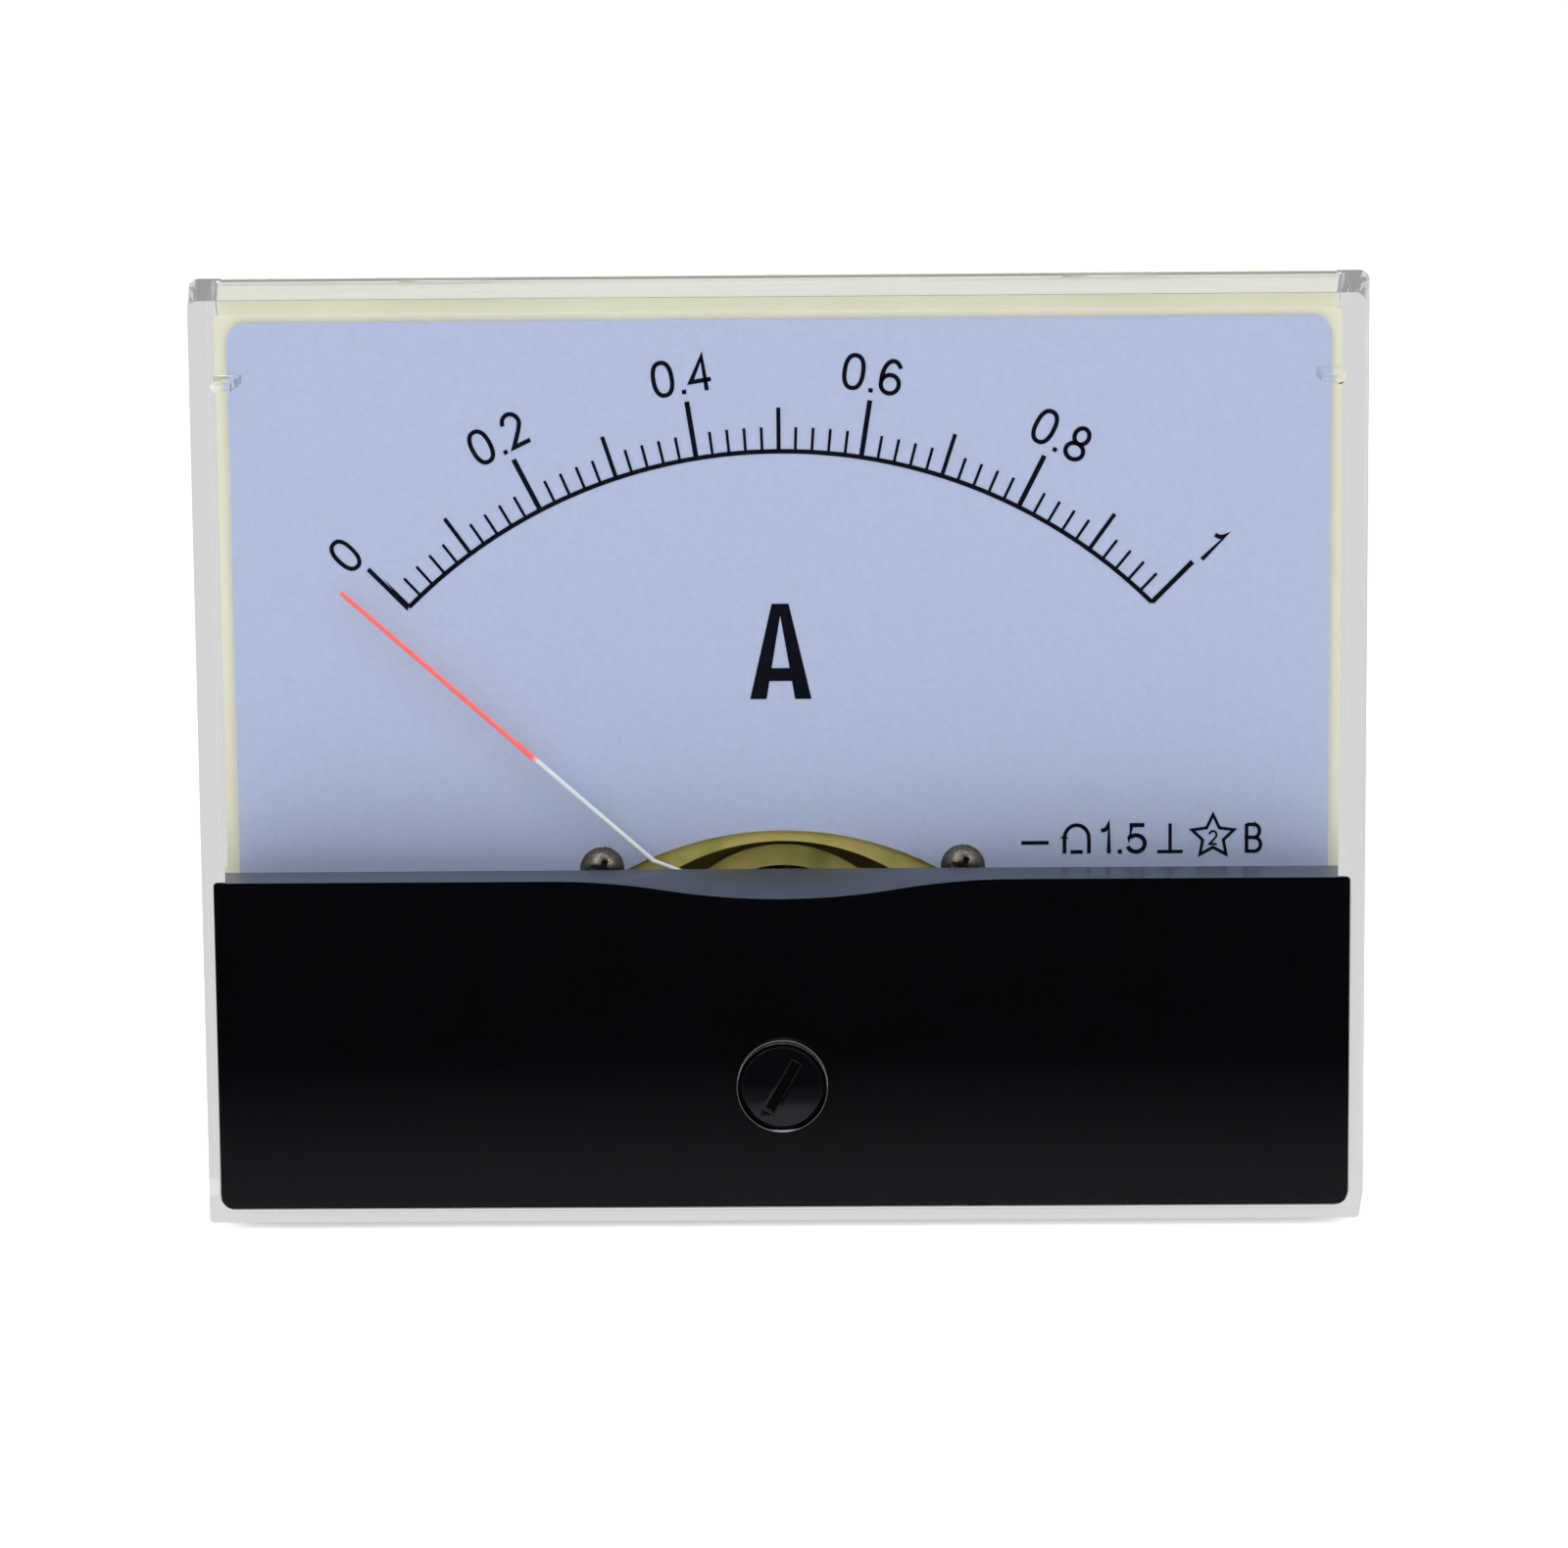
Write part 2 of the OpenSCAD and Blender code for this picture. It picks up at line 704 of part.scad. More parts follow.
// How far the hairspring's anchor reaches past the pin, and the pin past the spring
anchor_edge = 0.6;
anchor_past = 0.1;
spring_gap = 0.6;
spring_y = bridge_back + spring_gap;

// One bridge at the front; the rear one is its mirror image about the middle of the yoke
module bridge_body() {
    difference() {
        union() {
            block(-bridge_x, bridge_x, bridge_front, bridge_back, -bridge_half, bridge_half);
            for (side = [-1, 1]) at(side * bridge_x, 0) {
                y_cyl(bridge_half, bridge_front, bridge_back);
                y_cyl(post_r, bridge_back - eps, yoke_front);
            }
        }
        y_cyl(jewel_screw_r + shaft_fit, bridge_front - over, bridge_back + over);
        for (side = [-1, 1]) at(side * bridge_x, 0)
            y_cyl(bridge_screw_r + clear_fit, bridge_front - over, yoke_front + over);
    }
}

module to_rear() {
    translate([0, 2 * middle, 0]) mirror([0, 1, 0]) children();
}

cross_gap = 0.9;
cross_y = spring_y + spring_w + cross_gap;
// Radius at which the pointer rises through the front bridge's arch
riser_gap = 0.6;
riser_r = arch_r - arch_w - riser_gap;

module front_bridge() {
    stop_r = riser_r - 1;
    stop_past = 9;
    stop_angle = scale_angle / 2 + stop_past;
    rod_r = 0.3;
    rod_inset = 0.4;
    color([0.72, 0.72, 0.7]) at(0, pivot_z) {
        bridge_body();
        // Arch over the coil from post to post
        difference() {
            intersection() {
                y_cyl(arch_r, bridge_front, bridge_back);
                block(-arch_r, arch_r, bridge_front - over, bridge_back + over,
                    bridge_screw_r + clear_fit, arch_r + over);
            }
            y_cyl(arch_r - arch_w, bridge_front - over, bridge_back + over);
        }
        // Stops at both ends of the pointer's travel
        for (side = [-1, 1]) {
            foot = [side * bridge_x, cross_y, 0];
            end = [side * stop_r * sin(stop_angle), cross_y, stop_r * cos(stop_angle)];
            rod(foot + (end - foot) * (bridge_screw_r + rod_inset) / norm(end - foot), end, rod_r, rod_r);
        }
    }
}

module rear_bridge() {
    tab_half = 0.7;
    tab_start = 1.8;
    color([0.72, 0.72, 0.7]) at(0, pivot_z) to_rear() {
        bridge_body();
        // Anchor pin of the rear hairspring, carried on a tab below the plate
        rotate([0, anchor_angle, 0]) {
            block(-tab_half, tab_half, bridge_front, bridge_back, tab_start, anchor_r + anchor_edge);
            at(0, anchor_r) y_cyl(anchor_pin_r, bridge_back - eps, spring_y + spring_w + anchor_past);
        }
    }
}

module bridge_screws() {
    color([0.7, 0.7, 0.72]) at(0, pivot_z) for (rear = [false, true], side = [-1, 1]) {
        if (rear) to_rear() bridge_screw(side);
        else bridge_screw(side);
    }
}

module bridge_screw(side) {
    head_r = 1.5;
    head_h = 1;
    slot_half = 0.2;
    shank_l = 3.5;
    at(side * bridge_x, 0) {
        difference() {
            y_cyl(head_r, bridge_front - head_h, bridge_front);
            block(-slot_half, slot_half, bridge_front - head_h - over, bridge_front - head_h / 2,
                -head_r, head_r);
        }
        y_cyl(bridge_screw_r, bridge_front, yoke_front + shank_l);
    }
}

jewel_r = 0.7;
jewel_t = 0.8;
jewel_past = 0.2;
jewel_mouth = bridge_back + jewel_past;

module jewel_screw() {
    head_r = 2.4;
    head_back = lever_front - 0.05;
    head_front = head_back - 1.05;
    slot_half = 0.3;
    slot_depth = 0.6;
    difference() {
        union() {
            y_cyl(jewel_screw_r, head_back, jewel_mouth);
            y_cyl(head_r, head_front, head_back);
        }
        block(-slot_half, slot_half, head_front - over, head_front + slot_depth, -head_r, head_r);
        y_cyl(jewel_r + shaft_fit / 2, jewel_mouth - jewel_t, jewel_mouth + over);
    }
}

module front_jewel_screw() {
    color([0.85, 0.7, 0.35]) at(0, pivot_z) jewel_screw();
}

module rear_jewel_screw() {
    color([0.85, 0.7, 0.35]) at(0, pivot_z) to_rear() jewel_screw();
}

cup_r = 0.62;
cup_bottom_r = 0.08;
cup_depth = 0.58;
cup_floor = jewel_mouth - cup_depth;

module jewel() {
    difference() {
        y_cyl(jewel_r, jewel_mouth - jewel_t, jewel_mouth);
        y_cone(cup_bottom_r, cup_r, cup_floor, jewel_mouth);
        y_cyl(cup_r, jewel_mouth, jewel_mouth + over);
    }
}

module jewels() {
    color([0.75, 0.15, 0.3]) at(0, pivot_z) {
        jewel();
        to_rear() jewel();
    }
}

// ---- Moving coil: everything here turns about the pivot; local +Z points along the pointer ----

module at_pointer() {
    translate([0, 0, pivot_z]) rotate([0, rest_angle, 0]) children();
}

module frame_form(half_x, front, rear, wall, half_z, r) {
    translate([0, (front + rear) / 2, -half_z]) linear_extrude(2 * half_z) difference() {
        rounded(2 * half_x, rear - front, r);
        square([2 * (half_x - wall), rear - front - 2 * wall], center = true);
    }
}

former_x = core_r + former_gap + former_t;
former_r = 0.3;
winding_r = 0.7;
winding_inset = 0.3;
coil_rear = 2 * middle - coil_front;

module coil_former() {
    color([0.8, 0.8, 0.8]) at_pointer() frame_form(former_x, coil_front, coil_rear, former_t, former_w,
        former_r);
}

module coil_winding() {
    color([0.55, 0.2, 0.1]) at_pointer() frame_form(former_x + winding_t, winding_front,
        coil_rear + winding_t, winding_t - eps, former_w - winding_inset, winding_r);
}

hub_r = 1.5;
staff_disc_r = 1.8;
staff_disc_t = 0.4;
staff_disc_y = winding_front - staff_disc_t;
collet_r = 1.1;
point_r = 0.05;
point_gap = 0.08;

module pivot_staff() {
    point_y = cup_floor + point_gap;
    cone_l = 0.6;
    y_cyl(staff_disc_r, staff_disc_y, winding_front);
    y_cyl(pivot_r, point_y + cone_l, winding_front);
    y_cone(point_r, pivot_r, point_y, point_y + cone_l + eps);
    // Collet of the hairspring
    y_cyl(collet_r, spring_y, spring_y + spring_w);
}

module front_pivot() {
    color([0.6, 0.6, 0.62]) at_pointer() pivot_staff();
}

module rear_pivot() {
    color([0.6, 0.6, 0.62]) at_pointer() to_rear() pivot_staff();
}

hub_h = 0.4;
arm_half = 0.3;
arm_t = 0.5;
side_arm_l = 4.4;

module cross_arms(grow) {
    half_t = arm_t / 2 + grow;
    half = arm_half + grow;
    block(-half, half, cross_y - half_t, cross_y + half_t, -tail_l, 0);
    block(-side_arm_l, side_arm_l, cross_y - half_t, cross_y + half_t, -half, half);
}

module balance_cross() {
    color([0.75, 0.75, 0.75]) at_pointer() difference() {
        union() {
            y_cyl(hub_r, cross_y - hub_h, staff_disc_y);
            cross_arms(0);
        }
        y_cyl(pivot_r + eps, cross_y - hub_h - over, winding_front);
    }
}

// The tail weight is as long as it takes to balance the pointer about the pivot.
// Both moments are volume times radius, and the weight's is scaled by the densities.
foot_r = hub_r + eps;
pointer_section = PI * (pow(pointer_r, 2) + pointer_r * tip_r + pow(tip_r, 2)) / 3;
pointer_moment = pointer_section * (pow(pointer_tip, 2) - pow(foot_r, 2)) / 2;
arm_section = 2 * arm_half * arm_t;
arm_moment = arm_section * pow(tail_l, 2) / 2;
weight_inset = 0.1;
weight_reach = tail_l - weight_inset;
weight_section = PI * pow(weight_r, 2) - arm_section;
weight_moment = (pointer_moment - arm_moment) / (density_ratio * weight_section);
weight_l = weight_reach - sqrt(pow(weight_reach, 2) - 2 * weight_moment);
side_weight_r = 0.7;
side_weight_l = 1.2;

module balance_weights() {
    color([0.8, 0.65, 0.3]) at_pointer() difference() {
        union() {
            translate([0, cross_y, -weight_reach]) cylinder(r = weight_r, h = weight_l);
            for (side = [-1, 1]) translate([side * (side_arm_l - weight_inset), cross_y, 0])
                rotate([0, -side * 90, 0]) cylinder(r = side_weight_r, h = side_weight_l);
        }
        cross_arms(eps);
    }
}

// Stations of the pointer's crank, which rises inside the front bridge's arch: [radius, sideways, Y]
crank = [
    [foot_r, 0, cross_y],
    [riser_r - 0.6, 0.1, cross_y],
    [riser_r - 0.2, 0.3, cross_y - 0.8],
    [riser_r, 0.5, bridge_back],
    [riser_r, 0.7, bridge_front],
    [riser_r + 0.4, 0.9, bridge_front - 0.8],
    [crank_start - 4, 1.1, dial_face - 0.2],
    [crank_start - 2.4, 0.8, pointer_y + 0.45],
    [crank_start, 0, pointer_y]
];

function spot(c) = [c[1], c[2], c[0]];

module pointer() {
    color([0.85, 0.4, 0.35]) at_pointer() {
        for (i = [0:len(crank) - 2]) rod(spot(crank[i]), spot(crank[i + 1]), pointer_r, pointer_r);
        for (i = [1:len(crank) - 1]) translate(spot(crank[i])) sphere(r = pointer_r * elbow, $fn = rod_sides);
        rod([0, pointer_y, crank_start], [0, pointer_y, pointer_tip], pointer_r, tip_r);
    }
}

// Flat spiral strip from the collet to the anchor pin
module hairspring_form() {
    r_in = collet_r + spring_t / 2 + eps;
    r_out = anchor_r - anchor_pin_r - spring_t / 2 - eps;
    turn_steps = 24;
    steps = ceil(spring_turns * turn_steps);
    function spiral(i, side) =
        let (r = r_in + (r_out - r_in) * i / steps + side * spring_t / 2)
        let (a = 90 - anchor_angle + 360 * spring_turns * (1 - i / steps))
        [r * cos(a), r * sin(a)];
    y_slab(spring_y, spring_y + spring_w) polygon(concat(
        [for (i = [0:steps]) spiral(i, 1)],
        [for (i = [steps:-1:0]) spiral(i, -1)]));
}

module front_hairspring() {
    color([0.8, 0.65, 0.35]) at(0, pivot_z) hairspring_form();
}

module rear_hairspring() {
    color([0.8, 0.65, 0.35]) at(0, pivot_z) to_rear() hairspring_form();
}

lever_past = 0.9;

module zero_lever() {
    ring_r = 3;
    arm_half_w = 1.6;
    finger_half_w = 0.6;
    slot_fit = 0.12;
    slot_end = 0.4;
    slot_half = eccentric_r + slot_fit;
    slot_top = adjuster_drop - eccentric - eccentric_r - slot_end;
    arm_end = adjuster_drop + lever_past;
    color([0.8, 0.68, 0.3]) at(0, pivot_z) {
        y_slab(lever_front, lever_back) difference() {
            union() {
                circle(r = ring_r);
                translate([-arm_half_w, -arm_end]) square([2 * arm_half_w, arm_end]);
                rotate(-anchor_angle) translate([-finger_half_w, 0])
                    square([2 * finger_half_w, anchor_r + anchor_edge]);
            }
            circle(r = jewel_screw_r + shaft_fit);
            translate([-slot_half, -arm_end - over]) square([2 * slot_half, arm_end + over - slot_top]);
        }
        // Pin that holds the outer end of the front hairspring
        rotate([0, anchor_angle, 0]) at(0, anchor_r) y_cyl(anchor_pin_r, lever_back - eps,
            spring_y + spring_w + anchor_past);
    }
}

// ---- Electrical parts ----

terminal_chamfer = 0.5;

module terminal_studs() {
    color([0.8, 0.68, 0.35]) at_terminals() {
        y_cyl(terminal_head_r, barrel_floor - shunt_t - terminal_head_t, barrel_floor - shunt_t, 6);
        y_cyl(terminal_r, barrel_floor - shunt_t - eps, barrel_d + terminal_l - terminal_chamfer);
        y_cone(terminal_r, terminal_r - terminal_chamfer, barrel_d + terminal_l - terminal_chamfer,
            barrel_d + terminal_l);
    }
}

t_washer_r = 5;
t_spring_r = 4.3;
t_nut_r = 4.62;
t_washer = 0.8;
t_nut = 4;
t_spring = 1.1;
nut_1 = barrel_d + boss_h + t_washer;
washer_2 = nut_1 + t_nut;
spring_1 = washer_2 + t_washer;
nut_2 = spring_1 + t_spring;

module terminal_washers() {
    color("silver") at_terminals() {
        washer(terminal_r + clear_fit, t_washer_r, barrel_d + boss_h, nut_1);
        washer(terminal_r + clear_fit, t_washer_r, washer_2, spring_1);
    }
}

split_half = 0.3;
split_angle = 25;

module split_washer(r_in, r_out, y0, y1) {
    difference() {
        washer(r_in, r_out, y0, y1);
        rotate([0, split_angle, 0]) block(-split_half, split_half, y0 - over, y1 + over, 0, r_out + over);
    }
}

module terminal_spring_washers() {
    color("silver") at_terminals() split_washer(terminal_r + clear_fit, t_spring_r, spring_1, nut_2);
}

module terminal_nuts() {
    color([0.8, 0.68, 0.35]) at_terminals() {
        nut(terminal_r + shaft_fit, t_nut_r, nut_1, washer_2);
        nut(terminal_r + shaft_fit, t_nut_r, nut_2, nut_2 + t_nut);
    }
}

module shunt() {
    eye_r = 4.4;
    half = 2;
    notch_w = 0.6;
    notch_top = 0.6;
    notch_step = 3;
    color([0.6, 0.45, 0.35]) y_slab(barrel_floor - shunt_t, barrel_floor) difference() {
        union() {
            translate([-terminal_x, terminal_z - half]) square([2 * terminal_x, 2 * half]);
            for (side = [-1, 1]) translate([side * terminal_x, terminal_z]) circle(r = eye_r);
        }
        for (side = [-1, 1]) translate([side * terminal_x, terminal_z]) circle(r = terminal_r + clear_fit);
        // Trimming notches
        for (i = [-2:2]) translate([i * notch_step - notch_w / 2, terminal_z - half - over])
            square([notch_w, half + over - notch_top]);
    }
}

module wire(points, r) {
    for (i = [0:len(points) - 2]) rod(points[i], points[i + 1], r, r);
    for (i = [1:len(points) - 2]) translate(points[i]) sphere(r = r * elbow, $fn = rod_sides);
}

module coil_leads() {
    wire_r = 0.45;
    lead_x = 15.5;
    lead_rise = 7;
    end_rise = 0.3;
    bend_1 = 2;
    bend_2 = 4;
    post_gap = 1.5;
    head_front = barrel_floor - shunt_t - terminal_head_t;
    lead_z = pivot_z + lead_rise;
    end_x = bridge_x + post_r + wire_r;
    end_z = pivot_z + end_rise;
    front_y = bridge_back + post_gap;
    rear_y = 2 * middle - front_y;
    color([0.7, 0.1, 0.08]) {
        wire([[-terminal_x, head_front, terminal_z], [-terminal_x, head_front - bend_1, terminal_z],
            [-lead_x, head_front - bend_2, lead_z], [-lead_x, front_y, lead_z],
            [-end_x, front_y, end_z]], wire_r);
        wire([[terminal_x, head_front, terminal_z], [terminal_x, head_front - bend_1, terminal_z],
            [lead_x, rear_y, lead_z], [end_x, rear_y, end_z]], wire_r);
    }
}

// ---- Mounting hardware ----

stud_chamfer = 0.4;
// A mounting stud is thicker where it is moulded in, and its thread is a little under its plain shank
stud_root_r = stud_r + 0.2;
stud_thread_r = stud_r - 0.03;
m_washer_over = 2;
m_spring_over = 1.4;
m_nut_over = 1.68;

module mounting_studs() {
    color([0.75, 0.72, 0.6]) at_studs() {
        y_cyl(stud_head_r, base_front, base_front + stud_head_t - eps);
        y_cyl(stud_root_r, base_front + stud_head_t - 2 * eps, 0);
        y_cyl(stud_r, -eps, panel_gap);
        y_cyl(stud_thread_r, panel_gap - eps, stud_l - stud_chamfer);
        y_cone(stud_thread_r, stud_thread_r - stud_chamfer, stud_l - stud_chamfer, stud_l);
    }
}

m_washer = 0.6;
m_spring = 0.8;
m_nut = 2.4;
m_spring_y = panel_gap + m_washer;
m_nut_y = m_spring_y + m_spring;

module mounting_washers() {
    color("silver") at_studs() washer(stud_r + clear_fit, stud_r + m_washer_over, panel_gap, m_spring_y);
}

module mounting_spring_washers() {
    color("silver") at_studs() split_washer(stud_r + clear_fit, stud_r + m_spring_over, m_spring_y, m_nut_y);
}

module mounting_nuts() {
    color("silver") at_studs() nut(stud_thread_r + shaft_fit, stud_r + m_nut_over, m_nut_y, m_nut_y + m_nut);
}

front_cover();
lower_mask();
zero_adjuster();
dial_plate();
scale_marks();
dial_screws();
base();
movement_frame();
spacers();
movement_screws();
yoke_ring();
core_magnet();
core_keys();
front_bridge();
rear_bridge();
bridge_screws();
front_jewel_screw();
rear_jewel_screw();
jewels();
coil_former();
coil_winding();
front_pivot();
rear_pivot();
balance_cross();
balance_weights();
pointer();
front_hairspring();
rear_hairspring();
zero_lever();
terminal_studs();
terminal_washers();
terminal_spring_washers();
terminal_nuts();
shunt();
coil_leads();
mounting_studs();
mounting_washers();
mounting_spring_washers();
mounting_nuts();
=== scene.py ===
"""Looks of the moving-coil panel meter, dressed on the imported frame."""
import json
import math

import bmesh
import bpy
from mathutils import Matrix, Vector

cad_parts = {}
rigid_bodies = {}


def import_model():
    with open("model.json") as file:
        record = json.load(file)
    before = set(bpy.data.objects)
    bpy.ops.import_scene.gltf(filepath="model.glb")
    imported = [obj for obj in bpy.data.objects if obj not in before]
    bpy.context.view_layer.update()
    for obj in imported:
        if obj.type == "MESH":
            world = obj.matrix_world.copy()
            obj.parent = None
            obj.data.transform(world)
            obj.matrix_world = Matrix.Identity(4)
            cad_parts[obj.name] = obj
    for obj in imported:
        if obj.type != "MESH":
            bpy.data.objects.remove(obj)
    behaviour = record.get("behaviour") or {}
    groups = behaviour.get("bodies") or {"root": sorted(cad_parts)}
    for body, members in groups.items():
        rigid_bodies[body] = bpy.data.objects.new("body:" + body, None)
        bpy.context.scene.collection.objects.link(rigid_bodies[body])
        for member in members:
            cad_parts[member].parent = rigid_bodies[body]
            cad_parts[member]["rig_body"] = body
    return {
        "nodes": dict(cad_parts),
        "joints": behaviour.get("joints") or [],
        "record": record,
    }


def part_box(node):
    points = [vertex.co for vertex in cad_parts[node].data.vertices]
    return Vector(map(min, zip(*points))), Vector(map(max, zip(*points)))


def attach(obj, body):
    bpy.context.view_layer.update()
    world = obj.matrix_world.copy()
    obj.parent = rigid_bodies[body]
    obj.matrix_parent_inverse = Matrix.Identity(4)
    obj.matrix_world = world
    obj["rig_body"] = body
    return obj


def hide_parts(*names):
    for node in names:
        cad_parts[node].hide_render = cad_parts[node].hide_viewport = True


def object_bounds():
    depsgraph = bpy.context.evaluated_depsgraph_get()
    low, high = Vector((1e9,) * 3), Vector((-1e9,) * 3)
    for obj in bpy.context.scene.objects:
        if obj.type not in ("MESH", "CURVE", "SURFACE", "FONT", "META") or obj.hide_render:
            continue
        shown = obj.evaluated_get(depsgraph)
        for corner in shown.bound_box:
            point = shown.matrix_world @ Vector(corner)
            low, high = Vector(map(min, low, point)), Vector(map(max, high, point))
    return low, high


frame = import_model()
cad_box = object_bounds()
nodes = frame["nodes"]

MM = 0.001
WELD = 1e-6         # metres: closer vertices of a CAD node are one
THREAD_WELD = 1e-7  # metres: the same for the rows of a screw thread

pivot = Vector(next(j["pos_m"] for j in frame["joints"] if j["name"] == "pointer_swing"))
dial_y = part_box("dial_plate")[0].y
shelf_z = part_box("lower_mask")[1].z


# ---- Small helpers ----

def srgb(r, g, b):
    """A display colour, 0 to 255, as linear light."""
    def channel(c):
        c /= 255
        return c / 12.92 if c <= 0.04045 else ((c + 0.055) / 1.055) ** 2.4
    return (channel(r), channel(g), channel(b), 1)


def add_object(name, data):
    thing = bpy.data.objects.new(name, data)
    bpy.context.scene.collection.objects.link(thing)
    return thing


def mesh_object(name, verts, faces, material, smooth=False):
    mesh = bpy.data.meshes.new(name)
    mesh.from_pydata([tuple(v) for v in verts], [], faces)
    mesh.materials.append(material)
    mesh.polygons.foreach_set("use_smooth", [smooth] * len(mesh.polygons))
    mesh.update()
    return add_object(name, mesh)


# ---- Materials ----

class Nodes:
    """A material's node tree, with short ways to add and join nodes."""

    def __init__(self, name):
        self.material = bpy.data.materials.new(name)
        self.material.use_nodes = True
        self.tree = self.material.node_tree
        self.tree.nodes.clear()
        self.output = self.add("ShaderNodeOutputMaterial")

    def add(self, kind, **settings):
        node = self.tree.nodes.new(kind)
        for key, value in settings.items():
            setattr(node, key, value)
        return node

    def join(self, source, target):
        self.tree.links.new(source, target)

    def principled(self, color, roughness, metallic=0.0, **sockets):
        shader = self.add("ShaderNodeBsdfPrincipled")
        shader.inputs["Base Color"].default_value = color
        shader.inputs["Roughness"].default_value = roughness
        shader.inputs["Metallic"].default_value = metallic
        for key, value in sockets.items():
            shader.inputs[key.replace("_", " ")].default_value = value
        self.join(shader.outputs[0], self.output.inputs[0])
        return shader

    def noise(self, size_mm, detail=3, stretch=(1, 1, 1)):
        """Noise whose blotches are about size_mm across."""
        place = self.add("ShaderNodeTexCoord")
        scale = self.add("ShaderNodeMapping")
        scale.inputs["Scale"].default_value = stretch
        noise = self.add("ShaderNodeTexNoise")
        noise.inputs["Scale"].default_value = 1 / (size_mm * MM)
        noise.inputs["Detail"].default_value = detail
        self.join(place.outputs["Object"], scale.inputs["Vector"])
        self.join(scale.outputs[0], noise.inputs["Vector"])
        return noise.outputs["Fac"]

    def spread(self, factor, low, high, target):
        """Spreads a 0 to 1 factor between two values."""
        reach = self.add("ShaderNodeMapRange")
        reach.inputs["To Min"].default_value = low
        reach.inputs["To Max"].default_value = high
        self.join(factor, reach.inputs["Value"])
        self.join(reach.outputs[0], target)

    def colors(self, factor, first, second, target, low=0.3, high=0.7):
        ramp = self.add("ShaderNodeValToRGB")
        ramp.color_ramp.elements[0].position = low
        ramp.color_ramp.elements[0].color = first
        ramp.color_ramp.elements[1].position = high
        ramp.color_ramp.elements[1].color = second
        self.join(factor, ramp.inputs[0])
        self.join(ramp.outputs[0], target)

    def bump(self, factor, height_mm, shader):
        bump = self.add("ShaderNodeBump")
        bump.inputs["Distance"].default_value = height_mm * MM
        self.join(factor, bump.inputs["Height"])
        self.join(bump.outputs[0], shader.inputs["Normal"])


POLYSTYRENE_IOR = 1.5


def shade(color, share):
    """A colour made darker or lighter by a factor."""
    return tuple(c * share for c in color[:3]) + (1,)


def moulded(name, color, roughness, grain_mm=0.25, depth_mm=0.004, variation=0.04, **sockets):
    """Moulded plastic with a fine grain and slow changes of tone."""
    n = Nodes(name)
    shader = n.principled(color, roughness, **sockets)
    slow = n.noise(9)
    n.colors(slow, shade(color, 1 - variation), shade(color, 1 + variation), shader.inputs["Base Color"])
    fine = n.noise(grain_mm, detail=4)
    n.spread(fine, roughness * 0.85, roughness * 1.15, shader.inputs["Roughness"])
    n.bump(fine, depth_mm, shader)
    return n.material


def metal(name, color, roughness, grain_mm=0.3, stretch=(1, 1, 1), tint=None, depth_mm=0.003):
    """Metal with fine tool marks, drawn out along the axes where stretch is small."""
    n = Nodes(name)
    shader = n.principled(color, roughness, metallic=1.0)
    n.colors(n.noise(4), tint or shade(color, 0.88), color, shader.inputs["Base Color"])
    marks = n.noise(grain_mm, detail=5, stretch=stretch)
    n.spread(marks, roughness * 0.7, roughness * 1.3, shader.inputs["Roughness"])
    n.bump(marks, depth_mm, shader)
    return n.material


def clear_plastic():
    """Clear polystyrene, faintly smudged.

    Light for what lies behind it passes straight, so that the window doesn't darken the dial.
    """
    clean, smudged = 0.003, 0.01
    n = Nodes("clear_cover")
    shader = n.principled((0.985, 0.99, 0.985, 1), clean, Transmission_Weight=1.0, IOR=POLYSTYRENE_IOR)
    n.spread(n.noise(14, detail=4), clean, smudged, shader.inputs["Roughness"])
    straight = n.add("ShaderNodeBsdfTransparent")
    straight.inputs["Color"].default_value = (0.97, 0.975, 0.97, 1)
    rays = n.add("ShaderNodeLightPath")
    either = n.add("ShaderNodeMath", operation="MAXIMUM")
    n.join(rays.outputs["Is Shadow Ray"], either.inputs[0])
    n.join(rays.outputs["Is Diffuse Ray"], either.inputs[1])
    mix = n.add("ShaderNodeMixShader")
    n.join(either.outputs[0], mix.inputs[0])
    n.join(shader.outputs[0], mix.inputs[1])
    n.join(straight.outputs[0], mix.inputs[2])
    n.join(mix.outputs[0], n.output.inputs[0])
    return n.material


def painted_edge_highlight():
    """The cover's eased edges, painted whitish and partly opaque: a painted highlight along every edge."""
    smooth, rougher = 0.15, 0.35
    n = Nodes("clear_cover_edge")
    shader = n.principled((0.95, 0.96, 0.95, 1), smooth, Transmission_Weight=0.35, IOR=POLYSTYRENE_IOR)
    n.spread(n.noise(3, detail=4), smooth, rougher, shader.inputs["Roughness"])
    n.bump(n.noise(0.4), 0.004, shader)
    return n.material


def dial_paint():
    """Pale blue paint, a little mottled."""
    color, mottle = srgb(174, 184, 214), 0.04
    n = Nodes("dial_paint")
    shader = n.principled(color, 0.55)
    speckle = n.noise(0.5, detail=5)
    n.colors(speckle, shade(color, 1 - mottle), shade(color, 1 + mottle), shader.inputs["Base Color"])
    n.bump(speckle, 0.002, shader)
    return n.material


